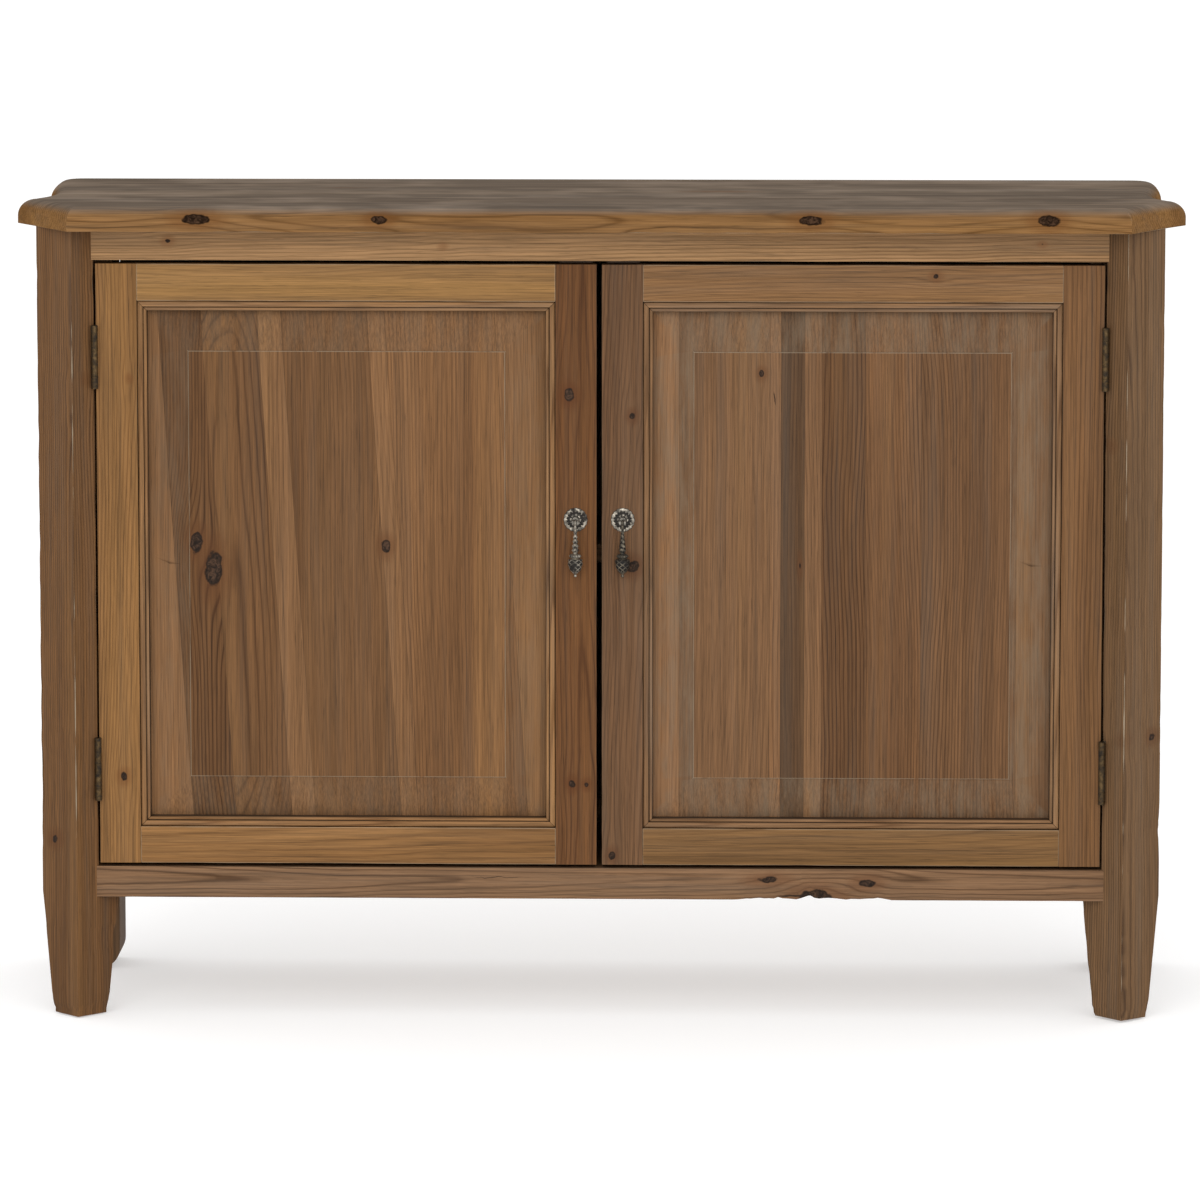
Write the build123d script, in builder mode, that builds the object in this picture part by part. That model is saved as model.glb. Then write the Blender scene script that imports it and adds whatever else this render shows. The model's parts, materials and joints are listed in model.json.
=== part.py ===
from build123d import *

import os
from math import sqrt

# Two-door sideboard of solid pine: a frame-and-panel case on four posts, two inset doors on butt
# hinges, drop pulls, and a shaped top. Millimetres, +Z up, the front faces -Y, the origin is on the
# floor under the middle of the top. Every piece is drawn as the right-hand one; left ones are mirrored.

os.makedirs("parts", exist_ok=True)

# Overall
WIDTH = 1290
DEPTH = 400
HEIGHT = 906

# Top
TOP_THICK = 27
TOP_ROUND = 18  # quarter round along its upper edge
CANT_X = 580  # where the straight front edge turns back
TIP_X = WIDTH / 2  # widest point of the front corner
TIP_Y = -92
WAIST_X = 620  # hollow of the shaped end
WAIST_Y = -20
EAR_X = 631  # the end's full width behind the hollow
EAR_Y = 150
BACK_ROUND = 32
CASE_TOP = HEIGHT - TOP_THICK

# Front posts: square, turned 45 degrees so that an arris faces forward
POST = 60
POST_X = 578
ARRIS_Y = -175
HALF_DIAGONAL = POST / sqrt(2)
POST_Y = ARRIS_Y + HALF_DIAGONAL
FOOT_TOP = 137
FOOT_HALF_DIAGONAL = 30

# Back posts: straight rectangles
BACK_POST_IN = 558
BACK_POST_OUT = 620
BACK_POST_FRONT = 105
BACK_Y = 175
BACK_FOOT_ROUND = 25

# Front frame
FACE_Y = -155
RAIL_THICK = 25
RAIL_BACK = FACE_Y + RAIL_THICK
TOP_RAIL_LOW = 844
BOTTOM_RAIL_LOW = 134
BOTTOM_RAIL_HIGH = 168.5
RAIL_MID = FACE_Y + RAIL_THICK / 2
TENON = 12
SHOULDER = 5
TENON_REACH = 570
REBATE_X = 556  # wall of the rebate that the door closes into
REBATE_Y = -131

# Side and back frames
SIDE_IN = 596
SIDE_OUT = 616
SIDE_MID = (SIDE_IN + SIDE_OUT) / 2
SIDE_RAIL = 55
SIDE_TENON = 10
SIDE_SHOULDER = 6
SIDE_TENON_FRONT = -134
SIDE_TENON_BACK = 125
PANEL_THIN = 8
PANEL_BITE = 8
PANEL_FRONT = -128
BACK_RAIL_FRONT = 145
BACK_RAIL_BACK = 165
BACK_RAIL = 60
BACK_TENON_REACH = 576
BACK_CHEEK = 5
BACK_SHOULDER = 8
BOARD_COUNT = 8
BOARD_GAP = 1
BOARD_LAP = 8
LAP_FREE = 0.1

# Inside
FLOOR_HIGH = 167
FLOOR_THICK = 18
SHELF_LOW = 504
SHELF_THICK = 20
SHELF_FRONT = -106
CLEAT_WIDE = 20
CLEAT_HALF = 520
FREE = 1  # play around the floor and shelf
PEG_R = 4
PEG_OUT = 12
PEG_IN = 20
PEG_Z = SHELF_LOW - PEG_R - 0.1
BACK_PEG_Y = 122
FRONT_PEG_X = POST_X - HALF_DIAGONAL / 2
FRONT_PEG_Y = POST_Y + HALF_DIAGONAL / 2

# Doors
DOOR_IN = 3
DOOR_OUT = 553.5
DOOR_LOW = 172.5
DOOR_HIGH = 840
DOOR_THICK = 22
DOOR_BACK = FACE_Y + DOOR_THICK
STILE = 45
DOOR_RAIL = 41
MOULD = 11.5
GROOVE = 8
TONGUE_FRONT = -141.5
TONGUE_BACK = -135.5
BEVEL = 44  # slope of the raised panel, from the moulding to the field
FIELD_Y = -149.5
FIELD_STEP = 1.2
LIP = 0.4  # play of the panel in its grooves
DOOR_TENON = 22
MOULD_FRONT = -153.8
MOULD_ROUND = 6
MOULD_QUIRK = 1.5
MITRE_GAP = 0.3
MITRE_CUT = 60

# Butt hinges
HINGE_X = (DOOR_OUT + REBATE_X) / 2
BARREL_R = 3.75
HINGE_Y = FACE_Y - BARREL_R
HINGE_LONG = 70
HINGE_HEIGHTS = (278, 737)
KNUCKLES = 5
KNUCKLE_GAP = 0.3
PIN_R = 1.6
PIN_FREE = 0.05
LEAF = 2
LEAF_BACK = -135
LEAF_FRONT = HINGE_Y + BARREL_R + 0.4
NOTCH_R = BARREL_R + 0.6
NOTCH_PAST = 0.5
SCREW_STEP = 23
HINGE_SCREW_Y = -145

# Drop pulls
PULL_X = 26
PLATE_Z = 558
PLATE_R = 14
PLATE_THICK = 1.6
DISC_R = 12
LOBES = 12
LOBE_R = 2.6
BOSS_R = 9
BOSS_TOP_R = 5
STUD_R = 2
STUD_PAST = 6  # of the stud behind the stile
NUT_R = 4
NUT_THICK = 3.2
PIVOT_Y = -166.5
PIVOT_Z = 556
EYE_R = 3.2
EYE_WIDE = 3.4
EYE_CUT = 5  # half the length of the tool that bores the eye and the fork
FINIAL_R = 2
FINIAL_DROP = 58.6
CHEEK = 1.6
CHEEK_IN = 1.9
CHEEK_R = 2.8
BOSS = 2
FORK_R = 3.4
NECK_LONG = 3
PULL_PIN_R = 1

# Screws and catches
SCREW_FREE = 0.2
WOOD_SCREW_R = 1.9
SMALL_SCREW_R = 1.5
HINGE_SCREW_LONG = 14
CASE_BITE = 11  # how far the screws of the cleats and catches go into the rails
BOARD_BITE = 14  # and those of the back boards
TOP_BITE = 15  # and those of the top
TOP_HEAD = 3
TOP_SCREW_R = 2.2
TOP_SCREW_Z = 852  # underside of the heads, inside the counterbores
COUNTERBORE_R = 5.5
TOP_SCREW_X = (-450, 0, 450)
TOP_SCREW_Y = (RAIL_MID, (BACK_RAIL_FRONT + BACK_RAIL_BACK) / 2)
CLEAT_SCREW_X = (-420, -140, 140, 420)
CLEAT_SCREW_Z = BOTTOM_RAIL_LOW + 7.5
CATCH_WIDE = 36
CATCH_FRONT = -131.4
CATCH_TAB = 3
CATCH_SCREW_Z = TOP_RAIL_LOW + 10
CATCH_SCREW_X = (-PULL_X - 10, -PULL_X + 10, PULL_X - 10, PULL_X + 10)
CATCH_DEEP = 15
CATCH_LOW = TOP_RAIL_LOW - 17
CATCH_HIGH = TOP_RAIL_LOW - 1
CATCH_TAB_HIGH = TOP_RAIL_LOW + 17
STRIKE = 1.2
STRIKE_INSET = 3
STRIKE_ROUND = 2


def write(builder, name):
    """Labels one finished piece and writes its STEP."""
    builder.part.label = name
    export_step(builder.part, f"parts/{name}.step")


def write_pair(builder, name):
    """Writes a right-hand piece and its mirror image."""
    write(builder, f"right_{name}")
    with BuildPart() as twin:
        mirror(builder.part, about=Plane.YZ)
    write(twin, f"left_{name}")


def block(x, y, z, mode=Mode.ADD):
    """A box from its three (low, high) pairs, in the builder that is open."""
    low = (min(x), min(y), min(z))
    size = (max(x) - low[0], max(y) - low[1], max(z) - low[2])
    with Locations(low):
        Box(*size, align=(Align.MIN, Align.MIN, Align.MIN), mode=mode)


def rod(start, direction, radius, length, mode=Mode.ADD):
    """A cylinder from a point along a direction, in the builder that is open."""
    with Locations(Plane(origin=start, z_dir=direction)):
        Cylinder(radius, length, align=(Align.CENTER, Align.CENTER, Align.MIN), mode=mode)


def screw(start, direction, radius, length, mode=Mode.ADD):
    """A countersunk screw with its flat head at start; with SUBTRACT, the hole that it fits."""
    free = SCREW_FREE if mode == Mode.SUBTRACT else 0
    head = radius + 0.1
    rod(start, direction, radius + free, length + free, mode)
    with Locations(Plane(origin=start, z_dir=direction)):
        base = (Align.CENTER, Align.CENTER, Align.MIN)
        Cone(radius + head + free, radius + free, head, align=base, mode=mode)


def diamond(half, centre_y):
    """The square section of a front post, as a sketch in the builder that is open."""
    with Locations((POST_X, centre_y)):
        Rectangle(half * sqrt(2), half * sqrt(2), rotation=45)


def post_solid():
    """The front post before its joints are cut: a square shaft and a foot that tapers to the arris."""
    with BuildPart() as shaft:
        with BuildSketch(Plane.XY.offset(FOOT_TOP)):
            diamond(HALF_DIAGONAL, POST_Y)
        extrude(amount=CASE_TOP - FOOT_TOP)
        with BuildSketch(Plane.XY.offset(FOOT_TOP)):
            diamond(HALF_DIAGONAL, POST_Y)
        with BuildSketch(Plane.XY):
            diamond(FOOT_HALF_DIAGONAL, ARRIS_Y + FOOT_HALF_DIAGONAL)
        loft()
    return shaft.part


# ---- Top ----------------------------------------------------------------------------------------

with BuildPart() as tabletop:
    with BuildSketch(Plane.XY.offset(CASE_TOP)):
        with BuildLine():
            front = Line((0, -DEPTH / 2), (CANT_X, -DEPTH / 2))
            cant = Line(front @ 1, (TIP_X, TIP_Y))
            side = Spline(cant @ 1, (WAIST_X, WAIST_Y), (EAR_X, EAR_Y), tangents=((-0.75, 1), (0, 1)))
            end = Line(side @ 1, (EAR_X, DEPTH / 2 - BACK_ROUND))
            corner = RadiusArc(end @ 1, (EAR_X - BACK_ROUND, DEPTH / 2), -BACK_ROUND)
            Line(corner @ 1, (0, DEPTH / 2))
            mirror(about=Plane.YZ)
        make_face()
    extrude(amount=TOP_THICK)
    fillet(tabletop.faces().sort_by(Axis.Z)[-1].edges(), TOP_ROUND)
    for x in TOP_SCREW_X:
        for y in TOP_SCREW_Y:
            rod((x, y, CASE_TOP), (0, 0, 1), TOP_SCREW_R + SCREW_FREE, TOP_BITE + 1, Mode.SUBTRACT)
write(tabletop, "tabletop")

# ---- Front posts --------------------------------------------------------------------------------

rail_spans = (
    (TOP_RAIL_LOW + SHOULDER, CASE_TOP - SHOULDER),
    (BOTTOM_RAIL_LOW + SHOULDER, BOTTOM_RAIL_HIGH - SHOULDER),
)
tenon_y = (RAIL_MID - TENON / 2, RAIL_MID + TENON / 2)
side_spans = ((CASE_TOP - SIDE_RAIL, CASE_TOP), (BOTTOM_RAIL_LOW, BOTTOM_RAIL_LOW + SIDE_RAIL))
side_tenon_x = (SIDE_MID - SIDE_TENON / 2, SIDE_MID + SIDE_TENON / 2)
side_panel_x = (SIDE_MID - PANEL_THIN / 2, SIDE_MID + PANEL_THIN / 2)
side_panel_z = (side_spans[1][1] - PANEL_BITE, side_spans[0][0] + PANEL_BITE)

with BuildPart() as front_post:
    add(post_solid())
    block((POST_X - POST, REBATE_X), (ARRIS_Y, REBATE_Y), (BOTTOM_RAIL_HIGH, TOP_RAIL_LOW), Mode.SUBTRACT)
    for low, high in rail_spans:
        block((POST_X - POST, TENON_REACH), tenon_y, (low, high), Mode.SUBTRACT)
    for low, high in side_spans:
        span = (low + SIDE_SHOULDER, high - SIDE_SHOULDER)
        block(side_tenon_x, (SIDE_TENON_FRONT, POST_Y + POST), span, Mode.SUBTRACT)
    block(side_panel_x, (PANEL_FRONT, POST_Y + POST), side_panel_z, Mode.SUBTRACT)
    rod((FRONT_PEG_X, FRONT_PEG_Y, PEG_Z), (1, -1, 0), PEG_R + SCREW_FREE, PEG_IN, Mode.SUBTRACT)
    for height in HINGE_HEIGHTS:
        reach = (height - HINGE_LONG / 2, height + HINGE_LONG / 2)
        block((REBATE_X, REBATE_X + LEAF), (ARRIS_Y, LEAF_BACK), reach, Mode.SUBTRACT)
        for step in (-1, 0, 1):
            at = (REBATE_X + LEAF, HINGE_SCREW_Y, height + step * SCREW_STEP)
            rod(at, (1, 0, 0), SMALL_SCREW_R + SCREW_FREE, HINGE_SCREW_LONG, Mode.SUBTRACT)
write_pair(front_post, "front_post")

# ---- Back posts ---------------------------------------------------------------------------------

with BuildPart() as back_post:
    block((BACK_POST_IN, BACK_POST_OUT), (BACK_POST_FRONT, BACK_Y), (0, CASE_TOP))
    foot_edge = back_post.edges().filter_by(Axis.Y).group_by(Axis.Z)[0].sort_by(Axis.X)[0]
    fillet(foot_edge, BACK_FOOT_ROUND)
    for low, high in side_spans:
        span = (low + SIDE_SHOULDER, high - SIDE_SHOULDER)
        block(side_tenon_x, (BACK_POST_FRONT, SIDE_TENON_BACK), span, Mode.SUBTRACT)
    block(side_panel_x, (BACK_POST_FRONT, BACK_POST_FRONT + PANEL_BITE), side_panel_z, Mode.SUBTRACT)
    for low in (CASE_TOP - BACK_RAIL, BOTTOM_RAIL_LOW):
        block(
            (BACK_POST_IN, BACK_TENON_REACH),
            (BACK_RAIL_FRONT + BACK_CHEEK, BACK_RAIL_BACK - BACK_CHEEK),
            (low + BACK_SHOULDER, low + BACK_RAIL - BACK_SHOULDER),
            Mode.SUBTRACT,
        )
    rod((BACK_POST_IN, BACK_PEG_Y, PEG_Z), (1, 0, 0), PEG_R + SCREW_FREE, PEG_IN, Mode.SUBTRACT)
write_pair(back_post, "back_post")

# ---- Front rails, scribed to the inner faces of the posts -----------------------------------------

for name, low, high in (
    ("front_top_rail", TOP_RAIL_LOW, CASE_TOP),
    ("front_bottom_rail", BOTTOM_RAIL_LOW, BOTTOM_RAIL_HIGH),
):
    with BuildPart() as rail:
        block((-POST_X, POST_X), (FACE_Y, RAIL_BACK), (low, high))
        with BuildSketch(Plane.XY.offset(low - 1)):
            diamond(HALF_DIAGONAL, POST_Y)
            mirror(about=Plane.YZ)
        extrude(amount=high - low + 2, mode=Mode.SUBTRACT)
        with Locations((POST_X, FACE_Y, low), (-POST_X, FACE_Y, low)):
            Box(POST / 2, POST, 2 * (high - low), mode=Mode.SUBTRACT)
        block((-TENON_REACH, TENON_REACH), tenon_y, (low + SHOULDER, high - SHOULDER))
        if name == "front_top_rail":
            for x in TOP_SCREW_X:
                at = (x, TOP_SCREW_Y[0], low)
                rod(at, (0, 0, 1), TOP_SCREW_R + SCREW_FREE, high - low, Mode.SUBTRACT)
                rod(at, (0, 0, 1), COUNTERBORE_R, TOP_SCREW_Z - low, Mode.SUBTRACT)
            for x in CATCH_SCREW_X:
                at = (x, RAIL_BACK, CATCH_SCREW_Z)
                rod(at, (0, -1, 0), SMALL_SCREW_R + SCREW_FREE, CASE_BITE + 1, Mode.SUBTRACT)
        else:
            for x in CLEAT_SCREW_X:
                at = (x, RAIL_BACK, CLEAT_SCREW_Z)
                rod(at, (0, -1, 0), WOOD_SCREW_R + SCREW_FREE, CASE_BITE + 1, Mode.SUBTRACT)
    write(rail, name)

# ---- Back rails and the shiplap boards screwed to them --------------------------------------------

board_wide = (2 * BACK_POST_IN - BOARD_GAP) / BOARD_COUNT
board_left = [-BACK_POST_IN + BOARD_GAP + index * board_wide for index in range(BOARD_COUNT)]
back_rail_z = {"back_top_rail": CASE_TOP - BACK_RAIL, "back_bottom_rail": BOTTOM_RAIL_LOW}
board_screw_z = [low + BACK_RAIL / 2 for low in back_rail_z.values()]

for name, low in back_rail_z.items():
    with BuildPart() as rail:
        block((-BACK_POST_IN, BACK_POST_IN), (BACK_RAIL_FRONT, BACK_RAIL_BACK), (low, low + BACK_RAIL))
        block(
            (-BACK_TENON_REACH, BACK_TENON_REACH),
            (BACK_RAIL_FRONT + BACK_CHEEK, BACK_RAIL_BACK - BACK_CHEEK),
            (low + BACK_SHOULDER, low + BACK_RAIL - BACK_SHOULDER),
        )
        for left in board_left:
            at = (left + board_wide / 2, BACK_RAIL_BACK, low + BACK_RAIL / 2)
            rod(at, (0, -1, 0), WOOD_SCREW_R + SCREW_FREE, BOARD_BITE + 1, Mode.SUBTRACT)
        if name == "back_top_rail":
            for x in TOP_SCREW_X:
                at = (x, TOP_SCREW_Y[1], low)
                rod(at, (0, 0, 1), TOP_SCREW_R + SCREW_FREE, BACK_RAIL, Mode.SUBTRACT)
                rod(at, (0, 0, 1), COUNTERBORE_R, TOP_SCREW_Z - low, Mode.SUBTRACT)
        else:
            for x in CLEAT_SCREW_X:
                at = (x, BACK_RAIL_FRONT, CLEAT_SCREW_Z)
                rod(at, (0, 1, 0), WOOD_SCREW_R + SCREW_FREE, CASE_BITE + 1, Mode.SUBTRACT)
    write(rail, name)

board_mid = (BACK_Y + BACK_RAIL_BACK) / 2
board_z = (BOTTOM_RAIL_LOW, CASE_TOP)
board_screw_long = BACK_Y - BACK_RAIL_BACK + BOARD_BITE
with BuildPart() as back_boards:
    for index, left in enumerate(board_left):
        right = left + board_wide - BOARD_GAP
        block((left, right), (BACK_RAIL_BACK, BACK_Y), board_z)
        if index < BOARD_COUNT - 1:
            lap_y = (BACK_RAIL_BACK, board_mid + LAP_FREE)
            block((right - BOARD_LAP, right), lap_y, board_z, Mode.SUBTRACT)
    for left in board_left[1:]:
        block((left - BOARD_LAP, left), (BACK_RAIL_BACK, board_mid - LAP_FREE), board_z)
    for left in board_left:
        for z in board_screw_z:
            at = (left + board_wide / 2, BACK_Y, z)
            screw(at, (0, -1, 0), WOOD_SCREW_R, board_screw_long, Mode.SUBTRACT)
write(back_boards, "back_boards")

with BuildPart() as back_board_screws:
    for left in board_left:
        for z in board_screw_z:
            screw((left + board_wide / 2, BACK_Y, z), (0, -1, 0), WOOD_SCREW_R, board_screw_long)
write(back_board_screws, "back_board_screws")

# ---- Side frames: rails scribed to the front posts, and a thin panel in their grooves --------------

for name, (low, high) in zip(("side_top_rail", "side_bottom_rail"), side_spans):
    with BuildPart() as rail:
        block((SIDE_IN, SIDE_OUT), (POST_Y, BACK_POST_FRONT), (low, high))
        with BuildSketch(Plane.XY.offset(low)):
            diamond(HALF_DIAGONAL, POST_Y)
        extrude(amount=high - low, mode=Mode.SUBTRACT)
        span = (low + SIDE_SHOULDER, high - SIDE_SHOULDER)
        block(side_tenon_x, (SIDE_TENON_FRONT, SIDE_TENON_BACK), span)
        block(side_panel_x, (PANEL_FRONT, BACK_POST_FRONT + PANEL_BITE), side_panel_z, Mode.SUBTRACT)
    write_pair(rail, name)

with BuildPart() as side_panel:
    block(
        (side_panel_x[0] + LIP / 2, side_panel_x[1] - LIP / 2),
        (PANEL_FRONT + LIP, BACK_POST_FRONT + PANEL_BITE - LIP),
        (side_panel_z[0] + LIP, side_panel_z[1] - LIP),
    )
write_pair(side_panel, "side_panel")

# ---- Floor, shelf and what they rest on ------------------------------------------------------------


def board_between_posts(front, back, low, thick):
    """A horizontal board as wide as the side frames allow, notched round the four posts."""
    with BuildPart() as board:
        block((FREE - SIDE_IN, SIDE_IN - FREE), (front, back), (low, low + thick))
        with BuildSketch(Plane.XY.offset(low)):
            diamond(HALF_DIAGONAL + sqrt(2) * FREE, POST_Y)
            mirror(about=Plane.YZ)
        extrude(amount=thick, mode=Mode.SUBTRACT)
        for x in ((BACK_POST_IN - FREE, SIDE_OUT), (FREE - BACK_POST_IN, -SIDE_OUT)):
            block(x, (BACK_POST_FRONT - FREE, BACK_Y), (low, low + thick), Mode.SUBTRACT)
    return board


floor_low = FLOOR_HIGH - FLOOR_THICK
floor_board = board_between_posts(RAIL_BACK, BACK_RAIL_FRONT - FREE, floor_low, FLOOR_THICK)
write(floor_board, "floor_board")

shelf = board_between_posts(SHELF_FRONT, BACK_RAIL_FRONT - FREE, SHELF_LOW, SHELF_THICK)
write(shelf, "shelf")

with BuildPart() as shelf_pegs:
    for side in (-1, 1):
        back_end = (side * (BACK_POST_IN - PEG_OUT), BACK_PEG_Y, PEG_Z)
        rod(back_end, (side, 0, 0), PEG_R, PEG_OUT + PEG_IN - 1)
        reach = PEG_OUT / sqrt(2)
        front_end = (side * (FRONT_PEG_X - reach), FRONT_PEG_Y + reach, PEG_Z)
        rod(front_end, (side, -1, 0), PEG_R, PEG_OUT + PEG_IN - 1)
write(shelf_pegs, "shelf_pegs")

cleats = {
    "front_floor_cleat": (RAIL_BACK, RAIL_BACK + CLEAT_WIDE, 1),
    "back_floor_cleat": (BACK_RAIL_FRONT, BACK_RAIL_FRONT - CLEAT_WIDE, -1),
}
for name, (rail_face, free_face, inward) in cleats.items():
    with BuildPart() as cleat:
        block((-CLEAT_HALF, CLEAT_HALF), (rail_face, free_face), (BOTTOM_RAIL_LOW, floor_low))
        for x in CLEAT_SCREW_X:
            screw((x, free_face, CLEAT_SCREW_Z), (0, -inward, 0), WOOD_SCREW_R, CLEAT_WIDE, Mode.SUBTRACT)
    write(cleat, name)

with BuildPart() as case_screws:
    for rail_face, free_face, inward in cleats.values():
        for x in CLEAT_SCREW_X:
            screw((x, free_face, CLEAT_SCREW_Z), (0, -inward, 0), WOOD_SCREW_R, CLEAT_WIDE + CASE_BITE)
    for x in CATCH_SCREW_X:
        at = (x, RAIL_BACK + CATCH_TAB, CATCH_SCREW_Z)
        screw(at, (0, -1, 0), SMALL_SCREW_R, CATCH_TAB + CASE_BITE)
write(case_screws, "case_screws")

with BuildPart() as tabletop_screws:
    for x in TOP_SCREW_X:
        for y in TOP_SCREW_Y:
            rod((x, y, TOP_SCREW_Z), (0, 0, 1), TOP_SCREW_R, CASE_TOP + TOP_BITE - TOP_SCREW_Z)
            rod((x, y, TOP_SCREW_Z), (0, 0, -1), 2 * TOP_SCREW_R, TOP_HEAD)
write(tabletop_screws, "tabletop_screws")

# ---- Magnetic catches under the top rail, and their strikes on the doors ---------------------------

catch_x = (PULL_X - CATCH_WIDE / 2, PULL_X + CATCH_WIDE / 2)
with BuildPart() as catch:
    block(catch_x, (CATCH_FRONT, CATCH_FRONT + CATCH_DEEP), (CATCH_LOW, CATCH_HIGH))
    block(catch_x, (RAIL_BACK, RAIL_BACK + CATCH_TAB), (CATCH_HIGH - 1, CATCH_TAB_HIGH))
    for x in CATCH_SCREW_X[2:]:
        at = (x, RAIL_BACK + CATCH_TAB, CATCH_SCREW_Z)
        screw(at, (0, -1, 0), SMALL_SCREW_R, CATCH_TAB + CASE_BITE, Mode.SUBTRACT)
write_pair(catch, "magnet_catch")

with BuildPart() as strike:
    block(
        (catch_x[0] + STRIKE_INSET, catch_x[1] - STRIKE_INSET),
        (DOOR_BACK, DOOR_BACK + STRIKE),
        (CATCH_LOW - 1, DOOR_HIGH - 1),
    )
    fillet(strike.edges().filter_by(Axis.Y), STRIKE_ROUND)
write_pair(strike, "catch_strike")

# ---- Butt hinges: three knuckles on the post's leaf, two on the door's -----------------------------

knuckle_long = HINGE_LONG / KNUCKLES
post_plate = (REBATE_X, REBATE_X + LEAF)
door_plate = (DOOR_OUT - LEAF, DOOR_OUT)


def hinge_screws(plate, out, mode=Mode.ADD):
    """Three countersunk screws for each leaf, with their heads flush in the leaf's open face."""
    face = plate[0] if out == 1 else plate[1]
    for height in HINGE_HEIGHTS:
        for step in (-1, 0, 1):
            at = (face, HINGE_SCREW_Y, height + step * SCREW_STEP)
            screw(at, (out, 0, 0), SMALL_SCREW_R, HINGE_SCREW_LONG, mode)


def hinge_leaves(plate, out, first_knuckle, bore):
    """The two leaves of one kind, each with every second knuckle of its barrel."""
    with BuildPart() as leaves:
        for height in HINGE_HEIGHTS:
            low = height - HINGE_LONG / 2
            block(plate, (LEAF_FRONT, LEAF_BACK), (low, low + HINGE_LONG))
            for index in range(first_knuckle, KNUCKLES, 2):
                bottom = low + index * knuckle_long + KNUCKLE_GAP / 2
                top = bottom + knuckle_long - KNUCKLE_GAP
                block(plate, (HINGE_Y, LEAF_FRONT), (bottom, top))
                rod((HINGE_X, HINGE_Y, bottom), (0, 0, 1), BARREL_R, top - bottom)
            rod((HINGE_X, HINGE_Y, low), (0, 0, 1), bore, HINGE_LONG, Mode.SUBTRACT)
        hinge_screws(plate, out, Mode.SUBTRACT)
    return leaves


post_leaves = hinge_leaves(post_plate, 1, 0, PIN_R)
write_pair(post_leaves, "hinge_post_leaves")

door_leaves = hinge_leaves(door_plate, -1, 1, PIN_R + PIN_FREE)
write_pair(door_leaves, "hinge_door_leaves")

with BuildPart() as hinge_pins:
    for side in (-1, 1):
        for height in HINGE_HEIGHTS:
            low = height - HINGE_LONG / 2
            rod((side * HINGE_X, HINGE_Y, low), (0, 0, 1), PIN_R, HINGE_LONG)
write(hinge_pins, "hinge_pins")

with BuildPart() as post_leaf_screws:
    hinge_screws(post_plate, 1)
    mirror(about=Plane.YZ)
write(post_leaf_screws, "post_leaf_screws")

with BuildPart() as door_leaf_screws:
    hinge_screws(door_plate, -1)
write_pair(door_leaf_screws, "door_leaf_screws")

# ---- Doors: stiles run through, rails are tenoned between them -------------------------------------

groove_y = (TONGUE_FRONT, TONGUE_BACK)
stile_in = (DOOR_IN, DOOR_IN + STILE)
stile_out = (DOOR_OUT - STILE, DOOR_OUT)
frame_x = (stile_in[1], stile_out[0])
frame_z = (DOOR_LOW + DOOR_RAIL, DOOR_HIGH - DOOR_RAIL)
door_rails = {"door_top_rail": (frame_z[1], DOOR_HIGH), "door_bottom_rail": (DOOR_LOW, frame_z[0])}
panel_x = (frame_x[0] - GROOVE, frame_x[1] + GROOVE)
panel_z = (frame_z[0] - GROOVE, frame_z[1] + GROOVE)

with BuildPart() as hinge_stile:
    block(stile_out, (FACE_Y, DOOR_BACK), (DOOR_LOW, DOOR_HIGH))
    block((frame_x[1], panel_x[1]), groove_y, panel_z, Mode.SUBTRACT)
    for low, high in door_rails.values():
        mortise_z = (low + SHOULDER, high - SHOULDER)
        block((frame_x[1], frame_x[1] + DOOR_TENON), groove_y, mortise_z, Mode.SUBTRACT)
    for height in HINGE_HEIGHTS:
        low = height - HINGE_LONG / 2
        block(door_plate, (FACE_Y, LEAF_BACK), (low, low + HINGE_LONG), Mode.SUBTRACT)
        notch = (HINGE_X, HINGE_Y, low - NOTCH_PAST)
        rod(notch, (0, 0, 1), NOTCH_R, HINGE_LONG + 2 * NOTCH_PAST, Mode.SUBTRACT)
    hinge_screws(door_plate, -1, Mode.SUBTRACT)
write_pair(hinge_stile, "door_hinge_stile")

with BuildPart() as meeting_stile:
    block(stile_in, (FACE_Y, DOOR_BACK), (DOOR_LOW, DOOR_HIGH))
    block((panel_x[0], frame_x[0]), groove_y, panel_z, Mode.SUBTRACT)
    for low, high in door_rails.values():
        mortise_z = (low + SHOULDER, high - SHOULDER)
        block((frame_x[0] - DOOR_TENON, frame_x[0]), groove_y, mortise_z, Mode.SUBTRACT)
    rod((PULL_X, FACE_Y, PLATE_Z), (0, 1, 0), STUD_R + SCREW_FREE, DOOR_THICK, Mode.SUBTRACT)
write_pair(meeting_stile, "door_meeting_stile")

for name, (low, high) in door_rails.items():
    with BuildPart() as rail:
        block(frame_x, (FACE_Y, DOOR_BACK), (low, high))
        tenon_x = (frame_x[0] - DOOR_TENON, frame_x[1] + DOOR_TENON)
        block(tenon_x, groove_y, (low + SHOULDER, high - SHOULDER))
        block(panel_x, groove_y, panel_z, Mode.SUBTRACT)
    write_pair(rail, name)

panel_mid = ((panel_x[0] + panel_x[1]) / 2, (panel_z[0] + panel_z[1]) / 2)
panel_wide = panel_x[1] - panel_x[0] - 2 * LIP
panel_high = panel_z[1] - panel_z[0] - 2 * LIP
edge = GROOVE + MOULD - LIP
field_wide = panel_wide - 2 * (edge + BEVEL)
field_high = panel_high - 2 * (edge + BEVEL)


def panel_plane(y):
    """A plane facing forward at the depth y, centred on the door panel."""
    return Plane(origin=(panel_mid[0], y, panel_mid[1]), x_dir=(1, 0, 0), z_dir=(0, -1, 0))


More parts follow.
